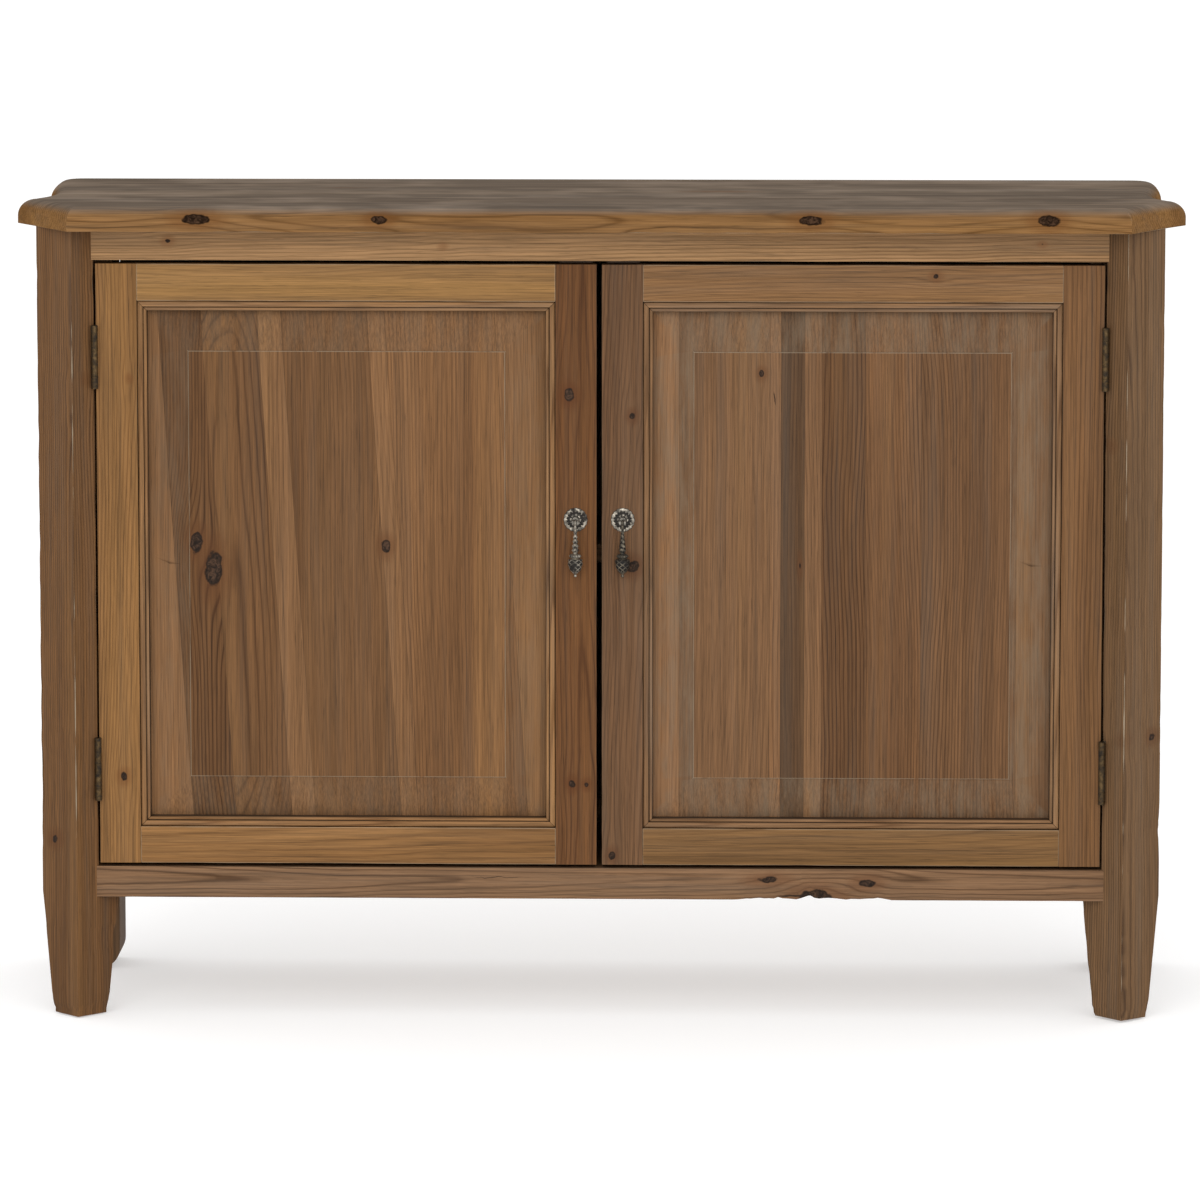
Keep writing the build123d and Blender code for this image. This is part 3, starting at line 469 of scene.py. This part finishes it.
def worn_mesh(node, wear, along, seed, step, chips):
    """The CAD node's shape with its outer edges rounded by wear, unevenly along their length.

    Chips are (place, reach, push): points near the place are pushed in, by most at the place itself.
    """
    mesh = bpy.data.meshes.new(node + "_worn")
    work = bmesh.new()
    work.from_mesh(frame["nodes"][node].data)
    work.faces.layers.float.new("worn")
    bmesh.ops.remove_doubles(work, verts=work.verts, dist=0.002 * MM)
    low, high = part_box(node)
    reach = high[along] - low[along]
    count = max(2, int(reach / step))
    axis = Vector([1.0 if i == along else 0.0 for i in range(3)])
    for index in range(1, count):
        cut = Vector(low)
        cut[along] += reach * (index + 0.15 * noise.noise(Vector((index, seed, 0)))) / count
        made = bmesh.ops.bisect_plane(
            work, geom=work.verts[:] + work.edges[:] + work.faces[:], plane_co=cut, plane_no=axis
        )
        for part in made["geom_cut"]:
            if isinstance(part, bmesh.types.BMEdge):
                part.seam = True
    bmesh.ops.dissolve_limit(
        work, angle_limit=math.radians(0.6), verts=work.verts, edges=work.edges, delimit={"SEAM"}
    )
    sharp = [
        edge
        for edge in work.edges
        if len(edge.link_faces) == 2 and edge.is_convex and edge.calc_face_angle(0) > math.radians(28)
    ]
    made = bmesh.ops.bevel(
        work, geom=sharp, offset=wear, segments=3, profile=0.5, affect="EDGES", clamp_overlap=True
    )
    layer = work.faces.layers.float["worn"]
    work.normal_update()
    rounded = [face for face in made["faces"] if face.is_valid]
    for face in rounded:
        face[layer] = 1.0
    for vert in {v for face in rounded for v in face.verts}:
        place = vert.co + Vector((seed, 0, 0))
        rough = noise.noise(place * 14) + 0.6 * noise.noise(place * 55)
        vert.co -= vert.normal * wear * max(0.0, rough) * 0.7
    for place, spread, push in chips:
        for vert in work.verts:
            away = (vert.co - Vector(place)).length / spread
            if away < 1:
                jag = 0.7 + 0.6 * noise.noise(vert.co * 160)
                vert.co += Vector(push) * (1 - away ** 2) ** 2 * jag
    for edge in work.edges:
        edge.seam = False
    work.to_mesh(mesh)
    work.free()
    smooth(mesh, 40)
    return mesh


# ---- Shaped pieces ---------------------------------------------------------------------------------


def mesh_from(name, verts, faces, values=None, label="relief"):
    """A mesh from points and faces, with an optional labelled value at each point."""
    mesh = bpy.data.meshes.new(name)
    mesh.from_pydata([tuple(v) for v in verts], [], faces)
    if values is not None:
        layer = mesh.attributes.new(label, "FLOAT", "POINT")
        layer.data.foreach_set("value", values)
    mesh.update()
    work = bmesh.new()
    work.from_mesh(mesh)
    bmesh.ops.remove_doubles(work, verts=work.verts, dist=0.001 * MM)
    bmesh.ops.recalc_face_normals(work, faces=work.faces)
    work.to_mesh(mesh)
    work.free()
    return mesh


def eased(points, steps):
    """A smooth line through (radius, z, carving) points, by Catmull-Rom spans."""
    line = []
    for index in range(len(points) - 1):
        before = points[max(0, index - 1)]
        start, end = points[index], points[index + 1]
        after = points[min(len(points) - 1, index + 2)]
        for step in range(steps):
            t = step / steps
            weights = (
                (-t + 2 * t * t - t ** 3) / 2,
                (2 - 5 * t * t + 3 * t ** 3) / 2,
                (t + 4 * t * t - 3 * t ** 3) / 2,
                (-t * t + t ** 3) / 2,
            )
            near = (before, start, end, after)
            line.append(tuple(sum(w * p[i] for w, p in zip(weights, near)) for i in range(3)))
    line.append(points[-1])
    return line


# ---- Camera ----------------------------------------------------------------------------------------

CAMERA_AWAY = 7.5
CAMERA_SIDE = 0.183
CAMERA_HEIGHT = 1.5385
CAMERA_PITCH = math.radians(7.16)
CAMERA_YAW = math.radians(1.42)
camera_data = bpy.data.cameras.new("camera")
camera_data.lens = 202.0
camera_data.sensor_width = 36
camera_data.shift_y = -0.11
camera_data.clip_end = 100
camera = bpy.data.objects.new("camera", camera_data)
camera.location = (CAMERA_SIDE, -CAMERA_AWAY, CAMERA_HEIGHT)
camera.rotation_euler = (math.pi / 2 - CAMERA_PITCH, 0, CAMERA_YAW)
bpy.context.scene.collection.objects.link(camera)
bpy.context.scene.camera = camera
bpy.context.scene.view_settings.view_transform = "Standard"


# ---- Light and floor -------------------------------------------------------------------------------


def lamp(name, place, aim, size, power):
    """A large square area light."""
    data = bpy.data.lights.new(name, "AREA")
    data.size = size
    data.energy = power
    light = bpy.data.objects.new(name, data)
    light.location = place
    light.rotation_euler = (Vector(aim) - Vector(place)).to_track_quat("-Z", "Y").to_euler()
    bpy.context.scene.collection.objects.link(light)


AIM = (0, 0, 0.5)
lamp("key", place=(-1.1, -4.4, 2.9), aim=AIM, size=2.8, power=70)
lamp("fill", place=(1.6, -4.4, 1.7), aim=AIM, size=2.8, power=46)
world = bpy.data.worlds.new("studio")
bpy.context.scene.world = world
world.use_nodes = True
world.node_tree.nodes["Background"].inputs[0].default_value = (1, 1, 1, 1)
world.node_tree.nodes["Background"].inputs[1].default_value = 1.0

FLOOR = 30.0
floor_mesh = bpy.data.meshes.new("floor")
floor_mesh.from_pydata(
    [(-FLOOR, -FLOOR, 0), (FLOOR, -FLOOR, 0), (FLOOR, FLOOR, 0), (-FLOOR, FLOOR, 0)], [], [(0, 1, 2, 3)]
)
floor = bpy.data.objects.new("floor", floor_mesh)
bpy.context.scene.collection.objects.link(floor)
floor_material, floor_tree, floor_shader = fresh_material("pale_floor", 0.9)
floor_shader.inputs["Base Color"].default_value = (0.68, 0.68, 0.68, 1)
floor_shader.inputs["Emission Color"].default_value = (1, 1, 1, 1)
floor_shader.inputs["Emission Strength"].default_value = 0.4
floor_shader.inputs["Specular IOR Level"].default_value = 0.1
floor_mesh.materials.append(floor_material)


# ---- Boards ----------------------------------------------------------------------------------------

LIGHT = 0.944  # how much darker the wood is than the display colour it gives under this light


def tone(red, green, blue):
    """The early wood's colour for a board that should show as this display colour."""
    return scaled(srgb(red, green, blue), LIGHT)


# Each board's grain, colour, knots and staves, as pine() takes them.
BOARDS = {
    "left_front_post": dict(
        grain="upright", tone=tone(107, 75, 45), wear=1.0, pith=(-0.01, 0.05), grey=0.23,
        knots=((0.62, 0.3, 5, 0.8), (-0.55, -0.6, 6, 0.8)),
    ),
    "right_front_post": dict(
        grain="upright", tone=tone(107, 80, 54), wear=1.0, pith=(0.02, 0.07), grey=0.26,
        knots=((0.46, -0.35, 5, 0.8), (-0.28, 0.0, 6, 0.8), (-0.28, 0.75, 5, 0.8)),
    ),
    "left_back_post": dict(grain="upright", tone=tone(97, 72, 50), pith=(0.02, 0.06), grey=0.20),
    "right_back_post": dict(grain="upright", tone=tone(97, 72, 50), pith=(-0.02, 0.06), grey=0.20),
    "front_top_rail": dict(
        grain="level", tone=tone(150, 116, 80), pith=(0.06, 0.05), grey=0.13,
        knots=((-0.83, 0.2, 4, 0.8), (-0.3, -0.1, 3, 0.8), (0.85, 0.1, 3, 0.8)),
    ),
    "front_bottom_rail": dict(
        grain="level", tone=tone(122, 92, 66), pith=(0.01, 0.03), grey=0.20, ring=3.0,
        knots=((0.42, -0.9, 11, 0.5), (0.33, 0.3, 5, 0.3), (0.52, 0.1, 6, 0.5)),
        checks=((0.38, -0.75, 40, 2.5), (-0.2, 0.4, 60, 0.8)),
    ),
    "left_side_top_rail": dict(grain="deep", tone=tone(114, 83, 55)),
    "left_side_bottom_rail": dict(grain="deep", tone=tone(110, 79, 51)),
    "right_side_top_rail": dict(grain="deep", tone=tone(114, 83, 55)),
    "right_side_bottom_rail": dict(grain="deep", tone=tone(110, 79, 51)),
    "left_side_panel": dict(
        grain="side", tone=tone(114, 85, 57),
        staves=((0.36, 1.0, 0.5, 1.0), (0.7, 0.92, 0.6, 1.0), (1.0, 1.05, 0.4, 1.0)),
        knots=((0.3, -0.4, 8, 0.8), (-0.45, 0.35, 10, 0.8)),
    ),
    "right_side_panel": dict(
        grain="side", tone=tone(114, 85, 57),
        staves=((0.3, 1.05, 0.5, 1.0), (0.66, 0.95, 0.4, 1.0), (1.0, 1.0, 0.6, 1.0)),
        knots=((0.45, 0.3, 9, 0.8), (-0.3, -0.5, 7, 0.8)),
    ),
    "back_top_rail": dict(grain="level", tone=tone(131, 100, 66)),
    "back_bottom_rail": dict(grain="level", tone=tone(131, 100, 66)),
    "floor_board": dict(
        grain="flat", tone=tone(127, 96, 64),
        staves=((0.33, 1.0, 0.5, 1.0), (0.68, 0.93, 0.5, 1.0), (1.0, 1.04, 0.5, 1.0)),
    ),
    "shelf": dict(
        grain="flat", tone=tone(94, 70, 47), staves=((0.4, 1.03, 0.5, 1.0), (1.0, 0.95, 0.5, 1.0)),
    ),
    "front_floor_cleat": dict(grain="level", tone=tone(127, 96, 64)),
    "back_floor_cleat": dict(grain="level", tone=tone(127, 96, 64)),
    "shelf_pegs": dict(grain="level", tone=tone(120, 89, 57)),
    "back_boards": dict(
        grain="upright", tone=tone(124, 94, 66), grey=0.26,
        staves=tuple(
            ((i + 1) / 8, 0.9 + 0.2 * ((i * 5) % 8) / 8, (i * 3 % 8) / 8, 1.0)
            for i in range(8)
        ),
        knots=(
            (0.4, -0.8, 9, 0.8), (-0.2, -0.45, 11, 0.8), (0.6, 0.1, 8, 0.8), (-0.5, 0.4, 10, 0.8),
            (0.1, 0.75, 9, 0.8),
        ),
    ),
    "tabletop": dict(
        grain="flat", tone=tone(124, 92, 57), grey=0.13, contrast=0.8, ring=3.4, pith=(0.12, 0.16),
        crown=tone(104, 99, 93), wear=0.6,
        staves=((0.34, 1.0, 0.5, 1.0), (0.66, 0.94, 0.45, 1.0), (1.0, 1.03, 0.4, 1.0)),
        knots=(
            (-0.68, -0.99, 6, 0.33), (-0.37, -0.99, 5, 0.45), (0.36, -0.99, 6, 0.4),
            (0.76, -0.99, 7, 0.5), (0.2, 0.1, 9, 0.3), (-0.45, 0.3, 7, 0.3),
        ),
    ),
    "left_door_hinge_stile": dict(
        grain="upright", tone=tone(128, 92, 54), pith=(0.06, 0.05), grey=0.10,
        knots=((-0.71, 0.2, 5, 0.8), (0.62, 0.6, 3, 0.8)),
    ),
    "left_door_meeting_stile": dict(
        grain="upright", tone=tone(102, 67, 37), pith=(0.005, 0.03), grey=0.13, late=0.5,
        knots=((0.57, -0.35, 7, 0.8), (-0.73, -0.2, 5, 0.8), (-0.73, 0.5, 4, 0.8)),
    ),
    "left_door_top_rail": dict(
        grain="level", tone=tone(133, 99, 60), pith=(0.05, 0.05), grey=0.07, contrast=0.5,
    ),
    "left_door_bottom_rail": dict(
        grain="level", tone=tone(134, 97, 58), pith=(0.03, 0.08), grey=0.07, contrast=0.5,
    ),
    "right_door_hinge_stile": dict(
        grain="upright", tone=tone(109, 77, 48), pith=(-0.05, 0.05), grey=0.20,
    ),
    "right_door_meeting_stile": dict(
        grain="upright", tone=tone(103, 74, 50), pith=(0.05, 0.05), grey=0.23,
        knots=((0.5, 0.5, 4.5, 0.8), (0.0, 0.5, 8, 1.0), (-0.97, -0.5, 5, 0.8)),
    ),
    "right_door_top_rail": dict(
        grain="level", tone=tone(122, 89, 57), pith=(0.05, 0.06), grey=0.20, contrast=0.5,
        knots=((0.36, 0.4, 4, 0.8),),
    ),
    "right_door_bottom_rail": dict(
        grain="level", tone=tone(115, 84, 51), pith=(0.04, 0.06), grey=0.16, contrast=0.5,
    ),
    "left_door_panel": dict(
        grain="upright", tone=tone(112, 81, 52), grey=0.13, ring=4.2, pith=(0.0, 0.05), lean=0.065,
        dust=0.25, wear=0.5,
        staves=(
            (0.10, 1.2, 0.5, 0.4), (0.20, 0.69, 0.85, 1.2), (0.33, 0.81, 0.7, 1.1),
            (0.385, 1.12, 0.4, 0.5), (0.585, 0.83, 0.6, 0.5), (0.625, 1.2, 0.4, 0.4),
            (0.88, 1.08, 0.6, 0.7), (1.0, 1.1, 0.5, 0.4),
        ),
        knots=((0.08, -0.70, 8, 0.6), (-0.02, -0.62, 11, 0.5), (0.07, 0.18, 6, 0.7)),
    ),
    "right_door_panel": dict(
        grain="upright", tone=tone(111, 81, 54), grey=0.20, ring=4.0, pith=(0.03, 0.06), lean=0.0,
        dust=0.6, wear=0.5,
        staves=(
            (0.10, 1.3, 0.55, 0.4), (0.31, 1.0, 0.4, 0.5), (0.335, 1.2, 0.6, 0.6),
            (0.39, 0.56, 0.4, 0.6), (0.43, 1.08, 0.45, 0.6), (0.53, 0.70, 0.9, 1.2),
            (0.66, 1.0, 0.7, 0.9), (0.88, 0.89, 0.6, 0.9), (1.0, 1.0, 0.4, 0.5),
        ),
        knots=((0.71, -0.42, 4, 0.8), (0.0, -0.24, 2, 0.2)), checks=((0.62, -0.36, 16, 1.5),),
    ),
}
WEAR = {"tabletop": 1.2 * MM, "left_front_post": 2.2 * MM, "right_front_post": 2.2 * MM}
USUAL_WEAR = 0.9 * MM
FINE_STEP, COARSE_STEP = 5 * MM, 10 * MM  # spacing of the cuts along a board
RAIL_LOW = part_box("front_bottom_rail")[0]
POST_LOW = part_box("left_front_post")[0]
POST_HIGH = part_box("left_front_post")[1]
POST_MID = (POST_LOW[0] + POST_HIGH[0]) / 2
CHIPS = {  # dents and lost corners: (where, how far they reach, how they push)
    "front_bottom_rail": [
        ((0.165 + 0.018 * i, RAIL_LOW[1], RAIL_LOW[2]), 16 * MM, (0, 0.8 * MM, (1.2 + i % 3) * MM))
        for i in range(9)
    ]
    + [((0.232, RAIL_LOW[1], RAIL_LOW[2]), 11 * MM, (0, 2 * MM, 5 * MM))],
    "left_front_post": [
        ((POST_MID + 30 * MM, POST_LOW[1] + 30 * MM, 0), 26 * MM, (-2.5 * MM, 0, 2 * MM)),
        ((POST_MID + 38 * MM, POST_LOW[1] + 36 * MM, 0.085), 20 * MM, (-3.5 * MM, 0, 0)),
        ((POST_MID, POST_LOW[1], 0), 16 * MM, (0, 2.5 * MM, 2.5 * MM)),
        ((POST_MID - 30 * MM, POST_LOW[1] + 30 * MM, 0), 16 * MM, (2.5 * MM, 0, 2.5 * MM)),
    ],
    "right_front_post": [
        ((-POST_MID - 30 * MM, POST_LOW[1] + 30 * MM, 0), 18 * MM, (2.5 * MM, 0, 3 * MM)),
        ((-POST_MID, POST_LOW[1], 0), 16 * MM, (0, 2.5 * MM, 2.5 * MM)),
        ((-POST_MID + 30 * MM, POST_LOW[1] + 30 * MM, 0), 24 * MM, (-2.5 * MM, 0, 2.5 * MM)),
        ((-POST_MID + 42 * MM, POST_LOW[1] + 42 * MM, 0.21), 20 * MM, (-2 * MM, 0, 0)),
    ],
}
PLAIN = {"back_boards", "shelf_pegs", "front_floor_cleat", "back_floor_cleat"}

for seed, (node, look) in enumerate(sorted(BOARDS.items())):
    box_low, box_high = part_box(node)
    material = pine(node + "_pine", box_low, box_high, seed=seed + 1, **look)
    if node in PLAIN:
        piece = frame["nodes"][node]
        piece.data.materials.clear()
        piece.data.materials.append(material)
        continue
    run = "XYZ".index(GRAIN_AXES[look["grain"]][0])
    step = FINE_STEP if node in CHIPS else COARSE_STEP
    wear = WEAR.get(node, USUAL_WEAR)
    mesh = worn_mesh(node, wear, run, seed + 1, step, CHIPS.get(node, ()))
    piece = new_piece(node + "_board", mesh, node, material)
    piece.modifiers.new("flat_faces", "WEIGHTED_NORMAL").keep_sharp = True


# ---- Mouldings -------------------------------------------------------------------------------------

# From the frame's edge inwards, in mm: how far in, and how far behind the moulding's front. A quirk, a
# flat that swells a little, a step, and a narrow bead beside the panel.
MOULD_PROFILE = (
    (0.1, 12.2), (0.1, 2.6), (0.5, 2.4), (0.9, 1.1), (1.5, 0.4), (2.8, 0.1), (4.4, 0.0), (5.8, 0.25),
    (6.4, 0.7), (6.6, 2.5), (7.2, 2.7), (7.5, 1.9), (8.0, 1.35), (8.9, 1.1), (9.8, 1.3), (10.5, 2.1),
    (10.9, 3.4), (11.1, 5.5), (11.2, 12.2),
)
MITRE = 0.3 * MM  # the gap left at each end of a length
MOULD_STEP = 12 * MM
MOULD_WEAR = 0.5 * MM


def moulding_length(name, low, high, side, seed):
    """One mitred length inside the box from low to high; side is its place: left, right, low or high."""
    upright = side in ("left", "right")
    run_low, run_high = (low[2], high[2]) if upright else (low[0], high[0])
    steps = int((run_high - run_low) / MOULD_STEP)
    verts, faces, darkening = [], [], []
    for step in range(steps + 1):
        share = step / steps
        for inset, behind in MOULD_PROFILE:
            inset *= MM
            start, end = run_low + inset + MITRE, run_high - inset - MITRE
            run = start + (end - start) * share
            place = Vector((run * 9, seed, inset * 200))
            worn = max(0.0, noise.noise(place) + 0.5 * noise.noise(place * 4)) * MOULD_WEAR
            # Painted shade where the profile lies 2.4 mm back or more (quirk, step, panel edge); grime in worn
            # dents.
            darkening.append(1.0 if 2.4 <= behind else 0.35 * min(1.0, 4 * worn / MM))
            deep = low[1] + min(behind * MM + (worn if behind < 4 else 0), high[1] - low[1])
            if side == "left":
                verts.append((low[0] + inset, deep, run))
            elif side == "right":
                verts.append((high[0] - inset, deep, run))
            elif side == "low":
                verts.append((run, deep, low[2] + inset))
            else:
                verts.append((run, deep, high[2] - inset))
    count = len(MOULD_PROFILE)
    for step in range(steps):
        for index in range(count):
            after = (index + 1) % count
            a, b = step * count + index, step * count + after
            faces.append((a, b, b + count, a + count))
    faces.append(tuple(range(count)))
    faces.append(tuple(steps * count + index for index in reversed(range(count))))
    mesh = mesh_from(name, verts, faces, darkening, "darkening")
    smooth(mesh, 50)
    return mesh


MOULD_LOOKS = {
    "left": dict(tone=tone(138, 102, 66), grey=0.35, late=0.55),
    "right": dict(tone=tone(128, 96, 66), grey=0.5, late=0.55),
}
for door, looks in MOULD_LOOKS.items():
    node = door + "_door_moulding"
    box_low, box_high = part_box(node)
    for seed, side in enumerate(("left", "right", "low", "high")):
        name = f"{door}_door_moulding_{side}"
        mesh = moulding_length(name, box_low, box_high, side, seed + len(door))
        upright = side in ("left", "right")
        spot_low, spot_high = Vector(box_low), Vector(box_high)
        if upright:
            spot_low[0] = spot_high[0] = (box_low if side == "left" else box_high)[0]
        else:
            spot_low[2] = spot_high[2] = (box_low if side == "low" else box_high)[2]
        grain = "upright" if upright else "level"
        material = pine(name + "_pine", spot_low, spot_high, grain, seed=50 + seed, **looks)
        new_piece(name, mesh, node, material)


# ---- Pulls -----------------------------------------------------------------------------------------

ROSE_R = 13.9 * MM
SCALLOPS = 16


def rosette(centre, front):
    """A cast rose: scalloped rim, ring of pits, eight petals and a boss, pointed at the bottom."""
    around, rings = 160, 30
    verts, faces, relief = [], [], []
    for ring in range(rings + 1):
        share = ring / rings
        for turn in range(around):
            angle = math.tau * turn / around
            bottom = max(0.0, math.cos(angle + math.pi / 2)) ** 24
            reach = ROSE_R * (0.925 + 0.035 * abs(math.cos(SCALLOPS / 2 * angle)) + 0.04 * bottom)
            lobe = math.cos(SCALLOPS / 2 * angle) ** 2
            rim = max(0.0, min(1.0, (share - 0.6) / 0.12, (1.0 - share) / 0.08)) * (0.7 + 0.3 * lobe)
            pits = math.exp(-(((share - 0.7) / 0.07) ** 2)) * (1 - lobe)
            petal = math.exp(-(((share - 0.38) / 0.11) ** 2)) * abs(math.cos(4 * angle + 0.4)) ** 0.7
            boss = math.exp(-((share / 0.2) ** 4))
            grit = 0.3 * noise.noise(Vector((share * 14, math.cos(angle) * 6, math.sin(angle) * 6)))
            height = 0.45 * (1 - share ** 6) + 0.8 * rim + 0.9 * petal + 1.6 * boss - 0.6 * pits + grit
            height = max(0.12, height) * MM if ring < rings else 0.0
            verts.append(
                (
                    centre[0] + share * reach * math.cos(angle),
                    front - height,
                    centre[1] + share * reach * math.sin(angle),
                )
            )
            relief.append(min(1.0, max(0.0, 0.05 + 0.85 * rim + 0.6 * petal + 0.4 * boss - pits + grit)))
    for ring in range(rings):
        for turn in range(around):
            after = (turn + 1) % around
            a, b = ring * around + turn, ring * around + after
            faces.append((a, b, b + around, a + around))
    faces.append(tuple(rings * around + turn for turn in range(around)))
    return verts, faces, relief


# The hanging drop from its pivot down, in mm: radius, height and how deep the carving is. The stem
# widens, a crown sits on the acorn, and a small bead ends it.
DROP_PROFILE = (
    (1.3, -1.9, 0.0), (1.5, -4.0, 0.0), (2.3, -5.4, 0.1), (1.5, -7.0, 0.1), (1.6, -11.0, 0.35),
    (2.2, -17.0, 0.6), (2.8, -23.0, 0.7), (3.5, -28.0, 0.7), (3.7, -30.5, 0.4), (2.7, -32.6, 0.1),
    (2.6, -33.8, 0.0), (5.4, -35.2, 0.5), (6.3, -36.8, 0.6), (5.2, -38.6, 0.3), (4.6, -39.6, 0.0),
    (7.4, -40.6, 0.5), (8.0, -43.0, 0.6), (7.6, -46.5, 0.8), (6.6, -50.0, 0.8), (4.6, -53.6, 0.6),
    (2.2, -56.0, 0.2), (1.1, -56.9, 0.0), (1.7, -58.2, 0.0), (1.6, -59.4, 0.0), (0.2, -60.5, 0.0),
)
DROP_EYE = (2.15, 0.95)  # ring radius and thickness radius of the eye, mm


def drop_swell(angle, carve, height):
    """Extra radius of the carving, mm: leaves on the stem, a notched crown, a cross-hatched acorn."""
    if height > -33:
        leaf = math.sin(height * 1.25 + 2.2 * abs(math.cos(angle))) * abs(math.cos(angle * 2))
        return carve * leaf
    if height > -39.8:
        return carve * (abs(math.cos(5 * angle)) * 1.6 - 0.9)
    lattice = min(abs(math.sin(3 * angle + height * 0.55)), abs(math.sin(3 * angle - height * 0.55)))
    return carve * (0.55 - 1.9 * min(0.6, lattice))


def drop(centre, pivot_y, pivot_z, turn):
    """The drop with its eye round the pin, hanging straight down."""
    around = 84
    verts, faces, relief = [], [], []
    rows = eased(DROP_PROFILE, 7)
    for radius, height, carve in rows:
        for index in range(around):
            angle = math.tau * index / around
            raised = drop_swell(angle + turn, carve, height)
            ground = 0.5 if height > -33 else 0.75 if height > -40.2 or height < -54 else 0.45
            out = max(0.05, radius + raised) * MM
            verts.append(
                (centre + out * math.cos(angle), pivot_y + out * math.sin(angle), pivot_z + height * MM)
            )
            relief.append(min(1.0, max(0.0, ground + 1.2 * raised)))
    for row in range(len(rows) - 1):
        for index in range(around):
            after = (index + 1) % around
            a, b = row * around + index, row * around + after
            faces.append((a, b, b + around, a + around))
    faces.append(tuple(range(around)))
    faces.append(tuple((len(rows) - 1) * around + index for index in reversed(range(around))))
    first = len(verts)
    ring_r, thick = DROP_EYE
    for index in range(40):
        major = math.tau * index / 40
        for part in range(20):
            minor = math.tau * part / 20
            out = (ring_r + thick * math.cos(minor)) * MM
            verts.append(
                (
                    centre + thick * 1.5 * math.sin(minor) * MM,
                    pivot_y + out * math.cos(major),
                    pivot_z + out * math.sin(major),
                )
            )
            relief.append(0.8)
            a, b = first + index * 20 + part, first + index * 20 + (part + 1) % 20
            c = first + ((index + 1) % 40) * 20
            faces.append((a, b, c + (part + 1) % 20, c + part))
    return verts, faces, relief


CAST = dict(relief="relief", darkening=0.85)
pewter = metal("old_pewter", srgb(176, 168, 154), srgb(30, 26, 22), 0.38, **CAST)
dark_pewter = metal("dark_pewter", srgb(118, 110, 96), srgb(24, 21, 18), 0.42, **CAST)
for door, turn in (("left", 0.0), ("right", 0.5)):
    node = door + "_pull_backplate"
    box_low, box_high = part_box(node)
    middle = (box_low + box_high) / 2
    mesh = mesh_from(node, *rosette((middle[0], middle[2]), box_high[1]))
    smooth(mesh, 60)
    new_piece(door + "_pull_rose", mesh, node, pewter)
    pivot = JOINTS[door + "_pull_pivot"]["pos_m"]
    node = door + "_pull_drop"
    mesh = mesh_from(node, *drop(pivot[0], pivot[1], pivot[2], turn))
    smooth(mesh, 60)
    new_piece(door + "_pull_acorn", mesh, node, pewter if door == "left" else dark_pewter)


# ---- Metal -----------------------------------------------------------------------------------------

brass = metal("aged_brass", srgb(96, 78, 54), srgb(26, 20, 15), 0.5, darkening=0.95)
plain_pewter = metal("plain_pewter", srgb(176, 170, 158), srgb(34, 30, 26), 0.4, darkening=0.9)
steel = metal("zinc_steel", srgb(170, 168, 162), srgb(90, 88, 84), 0.4)
catch_brown = moulded("catch_brown", srgb(92, 66, 46))
SLOT_LOOKS = {
    "antique_brass": brass,
    "pewter": plain_pewter,
    "steel": steel,
    "catch_plastic": catch_brown,
}

for node, obj in frame["nodes"].items():
    if SLOT_OF[node] in SLOT_LOOKS:
        obj.data.materials.clear()
        obj.data.materials.append(SLOT_LOOKS[SLOT_OF[node]])
